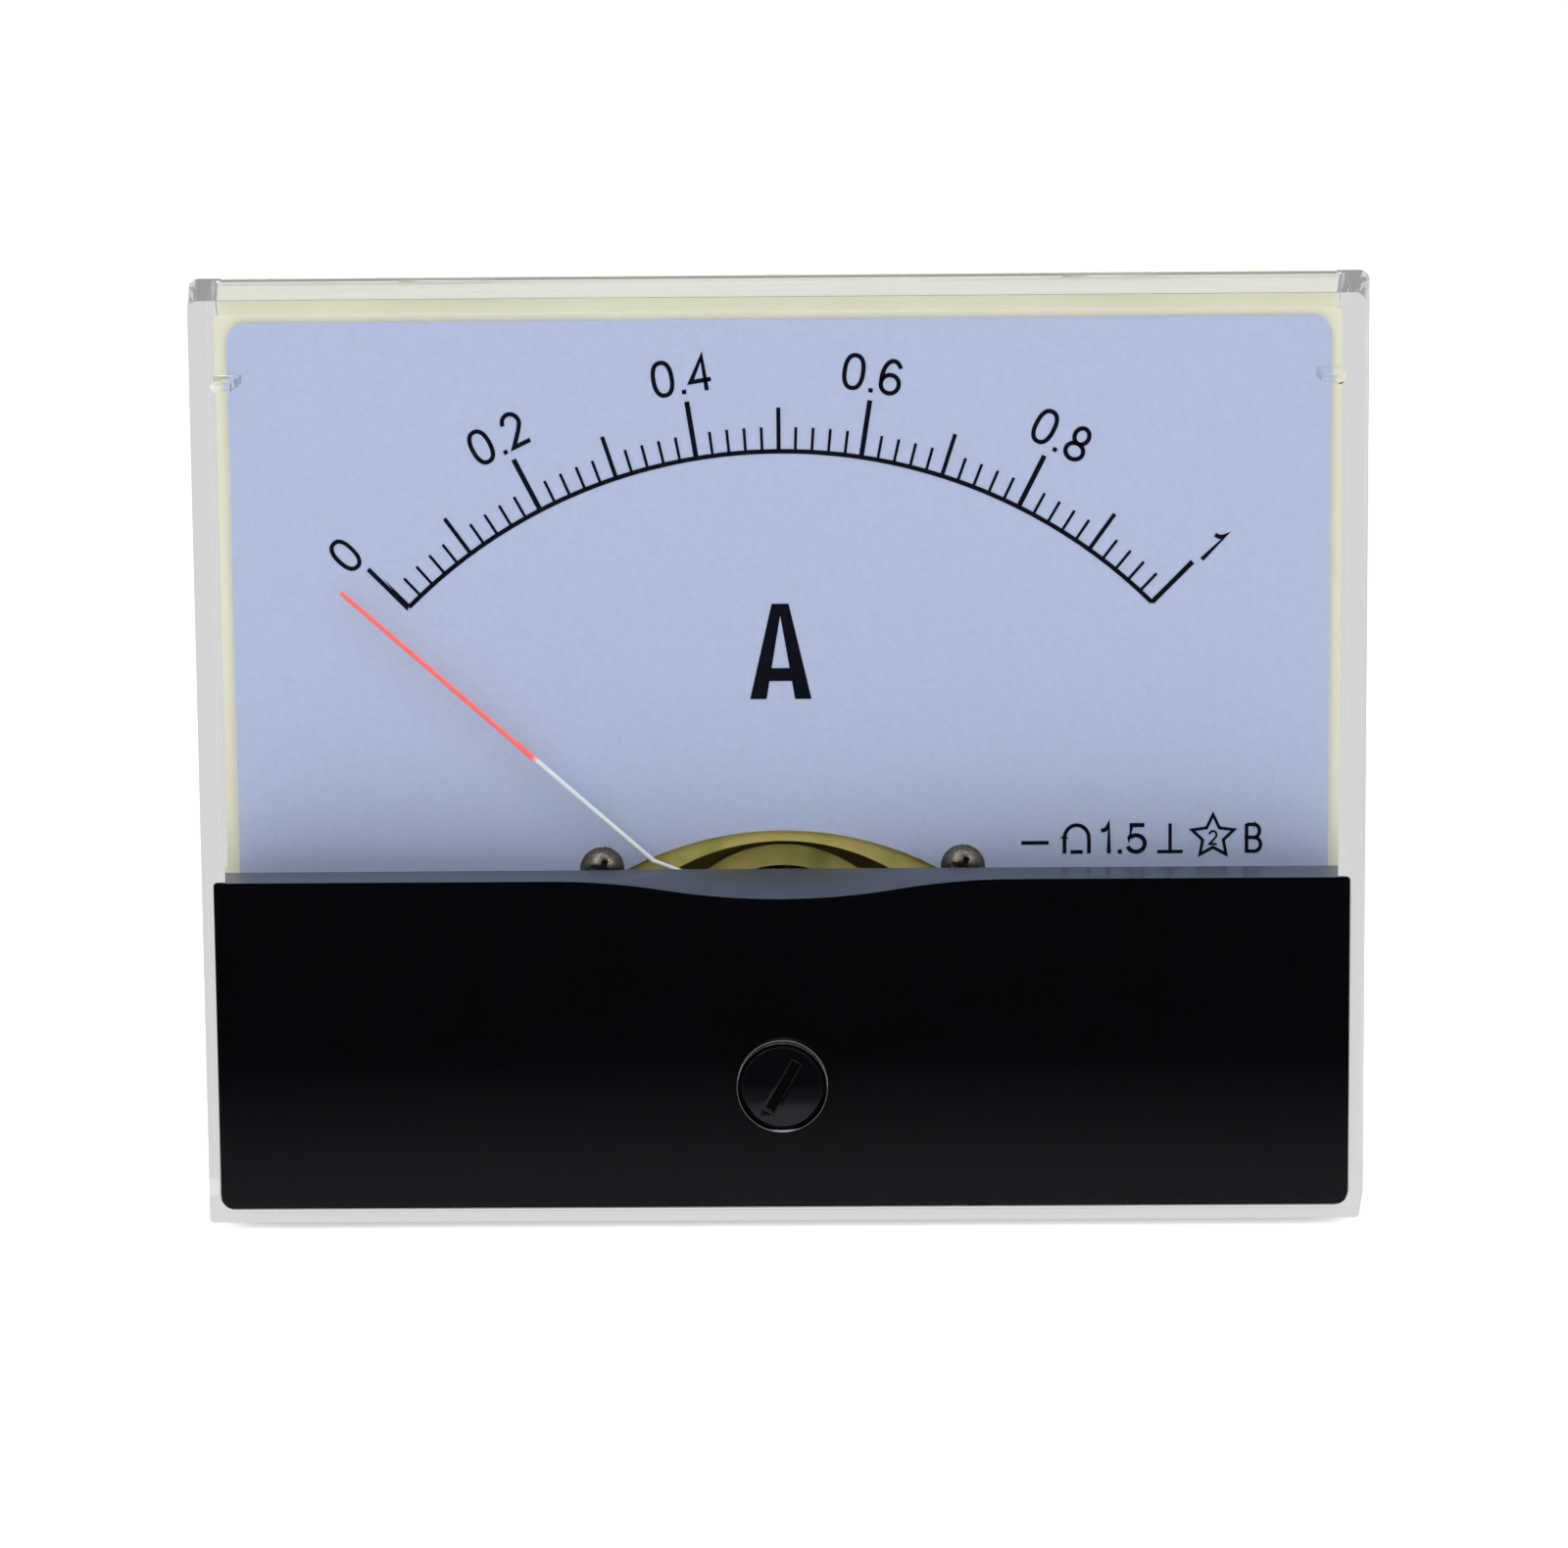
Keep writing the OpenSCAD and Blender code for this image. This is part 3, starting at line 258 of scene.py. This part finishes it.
def pointer_paint():
    """Bare tube near the pivot, and faintly glowing coral red paint from about half its length to the tip."""
    red_from, seam = 28 * MM, 0.3 * MM
    bare, red, glow = srgb(226, 228, 232), srgb(250, 104, 96), srgb(255, 70, 60)
    n = Nodes("pointer_paint")
    shader = n.principled(red, 0.35, Emission_Strength=0.25)
    place = n.add("ShaderNodeTexCoord")
    from_pivot = n.add("ShaderNodeVectorMath", operation="DISTANCE")
    from_pivot.inputs[1].default_value = (pivot.x, dial_y, pivot.z)
    n.join(place.outputs["Object"], from_pivot.inputs[0])
    share = n.add("ShaderNodeMapRange")
    share.inputs["From Min"].default_value = red_from - seam
    share.inputs["From Max"].default_value = red_from + seam
    n.join(from_pivot.outputs["Value"], share.inputs["Value"])
    n.colors(share.outputs[0], bare, red, shader.inputs["Base Color"], 0, 1)
    n.colors(share.outputs[0], (0, 0, 0, 1), glow, shader.inputs["Emission Color"], 0, 1)
    n.bump(n.noise(0.2), 0.002, shader)
    return n.material


def mask_moulding():
    """Black polystyrene, polished on its front and satin on the shelf that faces up, whose upward faces are
    painted blue-grey: a painted reflection of the dial above.
    """
    polished, satin = 0.03, 0.32
    black, painted_dial_reflection = srgb(3, 4, 6), srgb(56, 63, 75)
    level, upward = 0.3, 0.8  # share of the normal that points up, on the front and on the shelf
    n = Nodes("black_moulding")
    shader = n.principled(black, polished)
    place = n.add("ShaderNodeTexCoord")
    facing = n.add("ShaderNodeSeparateXYZ")
    n.join(place.outputs["Normal"], facing.inputs[0])
    share = n.add("ShaderNodeMapRange")
    share.inputs["From Min"].default_value = level
    share.inputs["From Max"].default_value = upward
    n.join(facing.outputs["Z"], share.inputs["Value"])
    n.spread(share.outputs[0], polished, satin, shader.inputs["Roughness"])
    # Painted reflection: faces that point up turn from black to the dial's blue-grey.
    n.colors(share.outputs[0], black, painted_dial_reflection, shader.inputs["Base Color"], 0, 1)
    n.bump(n.noise(0.3, detail=4), 0.001, shader)
    return n.material


def passivated():
    """Zinc plate with yellow passivation: a satin gold film that drifts to olive and pink."""
    tones = ((0.3, (186, 182, 98)), (0.45, (226, 214, 118)), (0.58, (238, 218, 130)), (0.72, (226, 182, 128)))
    n = Nodes("yellow_passivated")
    shader = n.principled(srgb(*tones[1][1]), 0.38, metallic=0.4)
    film = n.add("ShaderNodeValToRGB")
    film.color_ramp.elements[0].position = 0
    film.color_ramp.elements[0].color = srgb(*tones[0][1])
    film.color_ramp.elements[1].position = 1
    film.color_ramp.elements[1].color = srgb(*tones[-1][1])
    for position, tone in tones:
        film.color_ramp.elements.new(position).color = srgb(*tone)
    n.join(n.noise(5, detail=2), film.inputs[0])
    n.join(film.outputs[0], shader.inputs["Base Color"])
    n.bump(n.noise(0.15, detail=4), 0.002, shader)
    return n.material


MATERIALS = {
    "clear_cover": clear_plastic(),
    "black_moulding": mask_moulding(),
    "black_screw": moulded("black_screw", srgb(6, 7, 9), 0.09, depth_mm=0.001, variation=0.1),
    "dial_paint": dial_paint(),
    "black_ink": moulded("black_ink", srgb(7, 7, 22), 0.6, Specular_IOR_Level=0.08),
    "cream_moulding": moulded("cream_moulding", srgb(224, 221, 198), 0.42, variation=0.025),
    "yellow_passivated": passivated(),
    "bright_steel": metal("bright_steel", srgb(205, 206, 210), 0.28),
    "dark_steel": metal("dark_steel", srgb(104, 98, 90), 0.28),
    "magnet_alloy": metal("magnet_alloy", srgb(120, 120, 124), 0.4),
    "brass": metal("brass", srgb(224, 186, 104), 0.26, tint=srgb(200, 160, 84)),
    "bridge_alloy": metal("bridge_alloy", srgb(190, 184, 150), 0.35),
    "sheet_aluminium": metal("sheet_aluminium", srgb(214, 215, 218), 0.32),
    "pointer_paint": pointer_paint(),
    "coil_wire": metal("coil_wire", srgb(176, 96, 56), 0.35, grain_mm=0.2, stretch=(1, 1, 6)),
    "ruby": moulded("ruby", srgb(190, 30, 60), 0.08),
    "spring_bronze": metal("spring_bronze", srgb(220, 180, 110), 0.3),
    "manganin": metal("manganin", srgb(176, 150, 120), 0.4),
    "red_insulation": moulded("red_insulation", srgb(196, 40, 34), 0.4),
}
SLOTS = {part["node"]: part["material_slot"] for part in frame["record"]["subparts"]}


def finish_nodes():
    """Gives each CAD node the finish of its slot in the record."""
    for name, thing in nodes.items():
        thing.data.materials.clear()
        thing.data.materials.append(MATERIALS[SLOTS[name]])


# ---- Eased edges ----

SHARP = math.radians(35)  # edges that turn by more than this are eased
# CAD node, the piece that stands for it, and the rounding asked for
EASED_MM = (("lower_mask", "mask", 0.15), ("base", "base_moulding", 0.25),
            ("zero_adjuster", "adjuster_screw", 0.12), ("dial_screws", "dial_screw_heads", 0.08),
            ("front_bridge", "coil_bridge", 0.08))
HARDWARE = ("terminal_washers", "mounting_washers", "terminal_spring_washers", "mounting_spring_washers",
            "terminal_nuts", "mounting_nuts")


def solid_copy(node):
    """A bmesh of a CAD node with its flat faces whole."""
    mesh = bmesh.new()
    mesh.from_mesh(nodes[node].data)
    flat = math.radians(0.5)
    bmesh.ops.remove_doubles(mesh, verts=mesh.verts, dist=WELD)
    bmesh.ops.dissolve_limit(mesh, angle_limit=flat, verts=mesh.verts, edges=mesh.edges)
    return mesh


def body_of(node):
    return nodes[node]["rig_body"]


def from_bmesh(name, mesh, node, smooth_angle=30):
    """A piece that stands for a CAD node, with its finish, on its body."""
    data = bpy.data.meshes.new(name)
    mesh.normal_update()
    mesh.to_mesh(data)
    mesh.free()
    data.materials.append(MATERIALS[SLOTS[node]])
    piece = add_object(name, data)
    data.set_sharp_from_angle(angle=math.radians(smooth_angle))
    data.polygons.foreach_set("use_smooth", [True] * len(data.polygons))
    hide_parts(node)
    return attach(piece, body_of(node))


def ease(node, name, width_mm, segments=2):
    """Takes the sharpness off a node's edges, as on a moulding or a turned part.

    The clamp narrows the rounding over a whole piece to what its shortest edges leave room for. Washers and
    nuts get the full width, the adjuster 0.09 mm, the base and dial screws 0.02 mm, the cover and mask
    0.01 mm, and the front bridge next to nothing. Without it the cover's front tears at the adjuster's hole.
    """
    piece = from_bmesh(name, solid_copy(node), node)
    rounding = piece.modifiers.new("edges", "BEVEL")
    rounding.width = width_mm * MM
    rounding.segments = segments
    rounding.limit_method = "ANGLE"
    rounding.angle_limit = SHARP
    rounding.harden_normals = True
    rounding.use_clamp_overlap = True
    return piece


# ---- Threads ----

def islands(mesh):
    """The separate solids of a bmesh, as lists of vertices. They follow the mesh's order, so all runs agree."""
    seen = set()
    for seed in mesh.verts:
        if seed in seen:
            continue
        seen.add(seed)
        group, queue = [], [seed]
        while queue:
            vert = queue.pop()
            group.append(vert)
            for edge in vert.link_edges:
                other = edge.other_vert(vert)
                if other not in seen:
                    seen.add(other)
                    queue.append(other)
        yield group


def helix(mesh, cx, cz, start, end, crest, pitch, chamfer, around=32):
    """Adds a closed screw thread along Y: rows that follow the helix, cut flat at both ends."""
    root = crest - 0.6 * pitch
    profile = ((0, crest), (0.12, crest), (0.5, root), (0.62, root))  # share of the pitch, radius
    period = len(profile)
    turns = math.ceil((end - start) / pitch) + 2
    rows = []
    for row in range(turns * period):
        share, reach = profile[row % period]
        ring = []
        for j in range(around):
            y = start + pitch * (row // period + share + j / around - 1)
            r = min(reach, crest - max(0, y - end + chamfer))
            if y <= start:
                y, r = start, root
            if y >= end:
                y, r = end, crest - chamfer
            turn = 2 * math.pi * j / around
            ring.append(mesh.verts.new((cx + r * math.cos(turn), y, cz + r * math.sin(turn))))
        rows.append(ring)
    for k in range(len(rows) - 1):
        for j in range(around - 1):
            mesh.faces.new((rows[k][j], rows[k + 1][j], rows[k + 1][j + 1], rows[k][j + 1]))
        if k + 1 + period < len(rows):  # the seam, where a turn goes on into the next
            mesh.faces.new((rows[k][-1], rows[k + 1][-1], rows[k + 1 + period][0], rows[k + period][0]))
    bmesh.ops.remove_doubles(mesh, verts=[v for ring in rows for v in ring], dist=THREAD_WELD)


def thread_studs(node, name, length_mm, pitch_mm, chamfer_mm):
    """Replaces a node's plain studs by studs whose last length_mm is a screw thread."""
    mesh = solid_copy(node)
    end = max(v.co.y for v in mesh.verts)
    start = end - length_mm * MM
    spots = []
    for group in islands(mesh):
        tail = [v.co for v in group if v.co.y > start]
        cx = (min(v.x for v in tail) + max(v.x for v in tail)) / 2
        cz = (min(v.z for v in tail) + max(v.z for v in tail)) / 2
        spots.append((cx, cz, max(math.hypot(v.x - cx, v.z - cz) for v in tail)))
    cut = bmesh.ops.bisect_plane(mesh, geom=mesh.verts[:] + mesh.edges[:] + mesh.faces[:],
                                 plane_co=(0, start, 0), plane_no=(0, 1, 0), clear_outer=True)
    rim = [e for e in cut["geom_cut"] if isinstance(e, bmesh.types.BMEdge)]
    bmesh.ops.holes_fill(mesh, edges=rim, sides=0)
    for cx, cz, crest in spots:
        helix(mesh, cx, cz, start, end, crest, pitch_mm * MM, chamfer_mm * MM)
    bmesh.ops.dissolve_degenerate(mesh, edges=mesh.edges, dist=THREAD_WELD)
    bmesh.ops.holes_fill(mesh, edges=[e for e in mesh.edges if e.is_boundary], sides=0)
    bmesh.ops.recalc_face_normals(mesh, faces=mesh.faces)
    return from_bmesh(name, mesh, node, smooth_angle=40)


# ---- Printing on the dial ----

def arc(cx, cy, rx, ry, start, end, steps=16, power=2):
    """Points along an ellipse's arc, angles in degrees. A power over 2 makes it squarer."""
    points = []
    for i in range(steps + 1):
        turn = math.radians(start + (end - start) * i / steps)
        x, y = math.cos(turn), math.sin(turn)
        reach = (abs(x) ** power + abs(y) ** power) ** (-1 / power)
        points.append((cx + rx * reach * x, cy + ry * reach * y))
    return points


def star(cx, cy, outer, inner, points=5):
    """A star's outline, closed and point up."""
    reach = [inner if i % 2 else outer for i in range(2 * points + 1)]
    return [(cx + math.sin(math.pi * i / points) * r, cy + math.cos(math.pi * i / points) * r)
            for i, r in enumerate(reach)]



# Each sign is a list of strokes on a body one unit high, with the width that it takes
GLYPHS = {
    "0": (0.7, [arc(0.33, 0.5, 0.255, 0.455, 90, 450, 32, 2.4)]),
    "1": (0.5, [[(0.1, 0.75), (0.22, 0.78), (0.3, 0.86), (0.33, 0.96), (0.33, 0)]]),
    "2": (0.66, [arc(0.33, 0.7, 0.235, 0.255, 175, -25) + [(0.42, 0.42), (0.1, 0.06), (0.6, 0.045)]]),
    "4": (0.68, [[(0.46, 0), (0.46, 0.94), (0.05, 0.29), (0.62, 0.29)]]),
    "5": (0.68, [[(0.56, 0.93), (0.17, 0.93), (0.11, 0.47)] + arc(0.31, 0.32, 0.26, 0.275, 140, -160, 20)]),
    "6": (0.68, [arc(0.33, 0.3, 0.25, 0.255, 90, 450, 28), arc(0.36, 0.42, 0.28, 0.53, 190, 40, 20)]),
    "8": (0.68, [arc(0.33, 0.265, 0.25, 0.225, 90, 450, 28), arc(0.33, 0.72, 0.2, 0.23, -90, 270, 28)]),
    ".": (0.33, [[(0.1, 0.055), (0.22, 0.055)]]),
    "B": (0.66, [[(0.1, 0), (0.1, 0.95)],
                 [(0.1, 0.93), (0.35, 0.93)] + arc(0.35, 0.715, 0.17, 0.215, 90, -90) + [(0.1, 0.5)],
                 [(0.35, 0.5)] + arc(0.36, 0.27, 0.2, 0.225, 90, -90) + [(0.1, 0.045)]]),
    "dash": (0.9, [[(0, 0.36), (0.9, 0.36)]]),
    "coil": (0.9, [[(0.05, 0), (0.05, 0.5)] + arc(0.45, 0.5, 0.4, 0.44, 180, 0, 20) + [(0.85, 0)],
                   [(0.25, 0.05), (0.65, 0.05)]]),
    "upright": (0.84, [[(0, 0.045), (0.84, 0.045)], [(0.42, 0.045), (0.42, 0.98)]]),
    "star": (1.0, [star(0.5, 0.47, 0.53, 0.26)]),
}


def ribbon(points, width):
    """Vertices and quads of a flat stroke along 2-D points in metres, mitred at its corners."""
    same_spot, least_cosine = 1e-4, 0.4  # the second keeps a very sharp corner's mitre short
    points = [Vector(p) for p in points]
    closed = (points[0] - points[-1]).length < same_spot
    verts = []
    for i, p in enumerate(points):
        before = points[i - 1] if i else (points[-2] if closed else None)
        after = points[i + 1] if i < len(points) - 1 else (points[1] if closed else None)
        steps = (p - before if before else None, after - p if after else None)
        ways = [step.normalized() for step in steps if step]
        sides = [Vector((-w.y, w.x)) for w in ways]
        side = sum(sides, Vector((0, 0))).normalized()
        side *= width / 2 / max(side.dot(sides[0]), least_cosine)
        verts += [p + side, p - side]
    faces = [(2 * i, 2 * i + 1, 2 * i + 3, 2 * i + 2) for i in range(len(points) - 1)]
    return verts, faces


def printed(name, strokes, polygons=()):
    """Ink on the dial: ribbons and polygons in the dial's (X, Z) in metres, as one thin raised layer."""
    ink = 0.03 * MM
    mesh = bmesh.new()
    for verts, faces in [ribbon(*s) for s in strokes] + [(p, [tuple(range(len(p)))]) for p in polygons]:
        made = [mesh.verts.new((v[0], dial_y - ink, v[1])) for v in verts]
        for face in faces:
            mesh.faces.new([made[i] for i in face])
    bmesh.ops.recalc_face_normals(mesh, faces=mesh.faces)
    data = bpy.data.meshes.new(name)
    mesh.to_mesh(data)
    mesh.free()
    data.materials.append(MATERIALS["black_ink"])
    thing = add_object(name, data)
    layer = thing.modifiers.new("ink", "SOLIDIFY")
    layer.thickness = 0.8 * ink
    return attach(thing, "housing")


def write(text, height, weight, place, squeeze=1.0):
    """Strokes of a row of signs, centred on the origin and then put in place by a function of (x, y)."""
    signs = [GLYPHS[t] for t in text]
    total = sum(width for width, _ in signs)
    strokes, x = [], -total / 2
    for width, lines in signs:
        for line in lines:
            spots = [place((x + px) * height * squeeze, (py - 0.5) * height) for px, py in line]
            strokes.append((spots, weight))
        x += width
    return strokes


def round_pivot(radius, angle):
    """Puts (x, y) on the dial at a radius from the pivot, turned with the scale."""
    turn = math.radians(angle)

    def place(x, y):
        return (pivot.x + (radius + y) * math.sin(turn) + x * math.cos(turn),
                pivot.z + (radius + y) * math.cos(turn) - x * math.sin(turn))
    return place


def flat_at(cx, cz):
    """Puts (x, y) on the dial upright, round a centre."""
    def place(x, y):
        return (cx + x, cz + y)
    return place


def print_numerals():
    """Numbers round the scale, each turned with its long mark."""
    tall, line, radius = 3.05 * MM, 0.37 * MM, 51.55 * MM
    angles = {"0": -45.5, "0.2": -27.4, "0.4": -9.1, "0.6": 8.9, "0.8": 27.6, "1": 45.2}
    strokes = []
    for text, angle in angles.items():
        strokes += write(text, tall, line, round_pivot(radius, angle))
    printed("scale_numerals", strokes)


def print_unit():
    """The bold A in the middle of the dial: two legs that meet along the middle, and a bar between them."""
    low, height, half, leg, top = 4.2, 8.15, 2.61, 1.4, 0.72  # millimetres, as are the next three
    bar_low, bar_high, crotch_drop = 1.55, 2.65, 0.55
    crotch = height * (half - leg) / (half - leg + top - crotch_drop)

    def inner(z):
        """Half the gap between the legs at a height."""
        return (half - leg) * (1 - z / crotch)

    left = [(-half, 0), (leg - half, 0), (-inner(bar_low), bar_low), (-inner(bar_high), bar_high),
            (0, crotch), (0, height), (-top, height)]
    right = [(-x, z) for x, z in reversed(left)]
    bar = [(-inner(bar_low), bar_low), (inner(bar_low), bar_low), (inner(bar_high), bar_high),
           (-inner(bar_high), bar_high)]
    polygons = [[(x * MM, (low + z) * MM) for x, z in outline] for outline in (left, right, bar)]
    printed("unit_letter", [], polygons)


def print_symbols():
    """Direct current, moving coil, class 1.5, upright use, test voltage star, and group B."""
    tall, base = 2.6 * MM, shelf_z + 0.75 * MM
    middle = base + tall / 2
    class_x, star_x = 29.05 * MM, 36.7 * MM
    row = (("dash", 21.55, 0.32), ("coil", 25.1, 0.32), ("upright", 33.05, 0.29), ("B", 40.15, 0.31))
    strokes = []
    for sign, x, weight in row:
        strokes += write([sign], tall, weight * MM, flat_at(x * MM, middle))
    strokes += write("1.5", tall, 0.36 * MM, flat_at(class_x, middle), squeeze=1.1)
    strokes += write(["star"], 3.55 * MM, 0.26 * MM, flat_at(star_x, base + 1.5 * MM))
    strokes += write("2", 1.25 * MM, 0.18 * MM, flat_at(star_x, base + 1.3 * MM))
    printed("scale_symbols", strokes)


# ---- Camera, stage and light ----

MIX_A, MIX_B, MIX_RESULT = 6, 7, 2  # the Mix node's colour sockets, which share their names with others
ROOM_WHITE = (0.72, 0.72, 0.72, 1)
FRONT_STOPS = ((0.3, 0.55), (0.345, 0.1), (0.388, 0.085), (0.398, 0.008), (0.56, 0.015), (0.7, 0.72))


def make_camera():
    """A camera at the photograph's angle, slightly above and to the right of the dial's middle."""
    azimuth, elevation, roll = math.radians(1.033), math.radians(8.694), math.radians(-0.507)
    target = Vector((0.145, 0, -2.786)) * MM
    distance = 460 * MM
    back = Vector((math.sin(azimuth) * math.cos(elevation), -math.cos(azimuth) * math.cos(elevation),
                   math.sin(elevation)))
    right = Vector((math.cos(azimuth), math.sin(azimuth), 0))
    up = back.cross(right)
    axes = (math.cos(roll) * right + math.sin(roll) * up, math.cos(roll) * up - math.sin(roll) * right, back)
    camera = add_object("camera", bpy.data.cameras.new("camera"))
    camera.matrix_world = Matrix.Translation(target + distance * back) @ Matrix(axes).transposed().to_4x4()
    camera.data.sensor_width, camera.data.lens = 36, 123.1  # millimetres
    camera.data.clip_start = 0.01
    bpy.context.scene.camera = camera


def make_stage():
    """A pale floor that curves up into a wall behind. It stays out of mirror images of the front."""
    floor_z = cad_box[0].z - 0.02 * MM
    near, far, bend, top, half = -1.4, 1.1, 0.5, 2.2, 2.5  # metres
    steps = 16
    profile = [(near, floor_z)]
    profile += [(far + bend * math.sin(t), floor_z + bend * (1 - math.cos(t)))
                for t in (math.pi / 2 * i / steps for i in range(steps + 1))]
    profile.append((far + bend, top))
    verts = [(x, y, z) for y, z in profile for x in (-half, half)]
    faces = [(2 * i, 2 * i + 1, 2 * i + 3, 2 * i + 2) for i in range(len(profile) - 1)]
    n = Nodes("pale_floor")
    shader = n.principled((0.93, 0.93, 0.93, 1), 0.9, Specular_IOR_Level=0.1, Emission_Strength=0.45)
    shader.inputs["Emission Color"].default_value = (1, 1, 1, 1)
    n.colors(n.noise(60), (0.92, 0.92, 0.92, 1), (0.94, 0.94, 0.94, 1), shader.inputs["Base Color"])
    floor = mesh_object("floor", verts, faces, n.material, smooth=True)
    floor.visible_glossy = False
    floor.visible_transmission = False


def softbox(name, position, size, power):
    """A rectangular lamp aimed at the origin, in metres and watts."""
    light = bpy.data.lights.new(name, "AREA")
    light.shape = "RECTANGLE"
    light.size, light.size_y = size
    light.energy = power
    lamp = add_object(name, light)
    lamp.location = position
    lamp.rotation_euler = (-Vector(position)).to_track_quat("-Z", "Y").to_euler()


def make_light():
    """Two softboxes in front and a strip overhead that glints along the edges."""
    softbox("key_light", (-0.55, -0.75, 0.75), (0.5, 0.5), 2.75)
    softbox("fill_light", (0.65, -0.7, 0.6), (0.5, 0.5), 1.65)
    softbox("strip_light", (0, -0.4, 0.95), (1.3, 0.2), 2.75)


def make_room():
    """A white room whose front is dark, lighter towards the floor, for the mask to mirror.

    FRONT_STOPS holds heights, from 0 straight down to 1 straight up, and the brightness at each.
    """
    below = (0.6, 0.62, 0.65, 1)
    red_share, blue_share = 0.95, 1.1  # a slightly blue tone
    front_ends, white_starts = -0.35, 0.0  # along Y, from -1 straight in front to 1 straight behind
    world = bpy.data.worlds.new("room")
    bpy.context.scene.world = world
    world.use_nodes = True
    tree = world.node_tree
    background = tree.nodes["Background"]
    place = tree.nodes.new("ShaderNodeTexCoord")
    split = tree.nodes.new("ShaderNodeSeparateXYZ")
    height = tree.nodes.new("ShaderNodeValToRGB")
    stops = height.color_ramp
    stops.elements[0].position = 0.0
    stops.elements[0].color = below
    stops.elements[1].position = 1.0
    stops.elements[1].color = ROOM_WHITE
    for position, value in FRONT_STOPS:
        stops.elements.new(position).color = (value * red_share, value, value * blue_share, 1)
    lift = tree.nodes.new("ShaderNodeMapRange")
    lift.inputs["From Min"].default_value = -1
    front = tree.nodes.new("ShaderNodeMapRange")
    front.inputs["From Min"].default_value = front_ends
    front.inputs["From Max"].default_value = white_starts
    mix = tree.nodes.new("ShaderNodeMix")
    mix.data_type = "RGBA"
    mix.inputs[MIX_B].default_value = ROOM_WHITE
    tree.links.new(place.outputs["Generated"], split.inputs[0])
    tree.links.new(split.outputs["Z"], lift.inputs["Value"])
    tree.links.new(lift.outputs[0], height.inputs[0])
    tree.links.new(split.outputs["Y"], front.inputs["Value"])
    tree.links.new(front.outputs[0], mix.inputs[0])
    tree.links.new(height.outputs[0], mix.inputs[MIX_A])
    tree.links.new(mix.outputs[MIX_RESULT], background.inputs["Color"])
    background.inputs["Strength"].default_value = 1.0
    bpy.context.scene.view_settings.view_transform = "Standard"


make_camera()
make_stage()
make_light()
make_room()
finish_nodes()
cover = ease("front_cover", "clear_cover", 0.3, segments=3)
# The rounded edges take a whitish finish, a painted highlight line along every edge of the cover.
cover.data.materials.append(painted_edge_highlight())
cover.modifiers["edges"].material = len(cover.data.materials) - 1
for node, name, width_mm in EASED_MM:
    ease(node, name, width_mm)
thread_studs("terminal_studs", "terminal_threads", length_mm=15.6, pitch_mm=0.8, chamfer_mm=0.5)
thread_studs("mounting_studs", "mounting_threads", length_mm=13.4, pitch_mm=0.5, chamfer_mm=0.4)
for node in HARDWARE:
    ease(node, node + "_eased", width_mm=0.07)
print_numerals()
print_unit()
print_symbols()
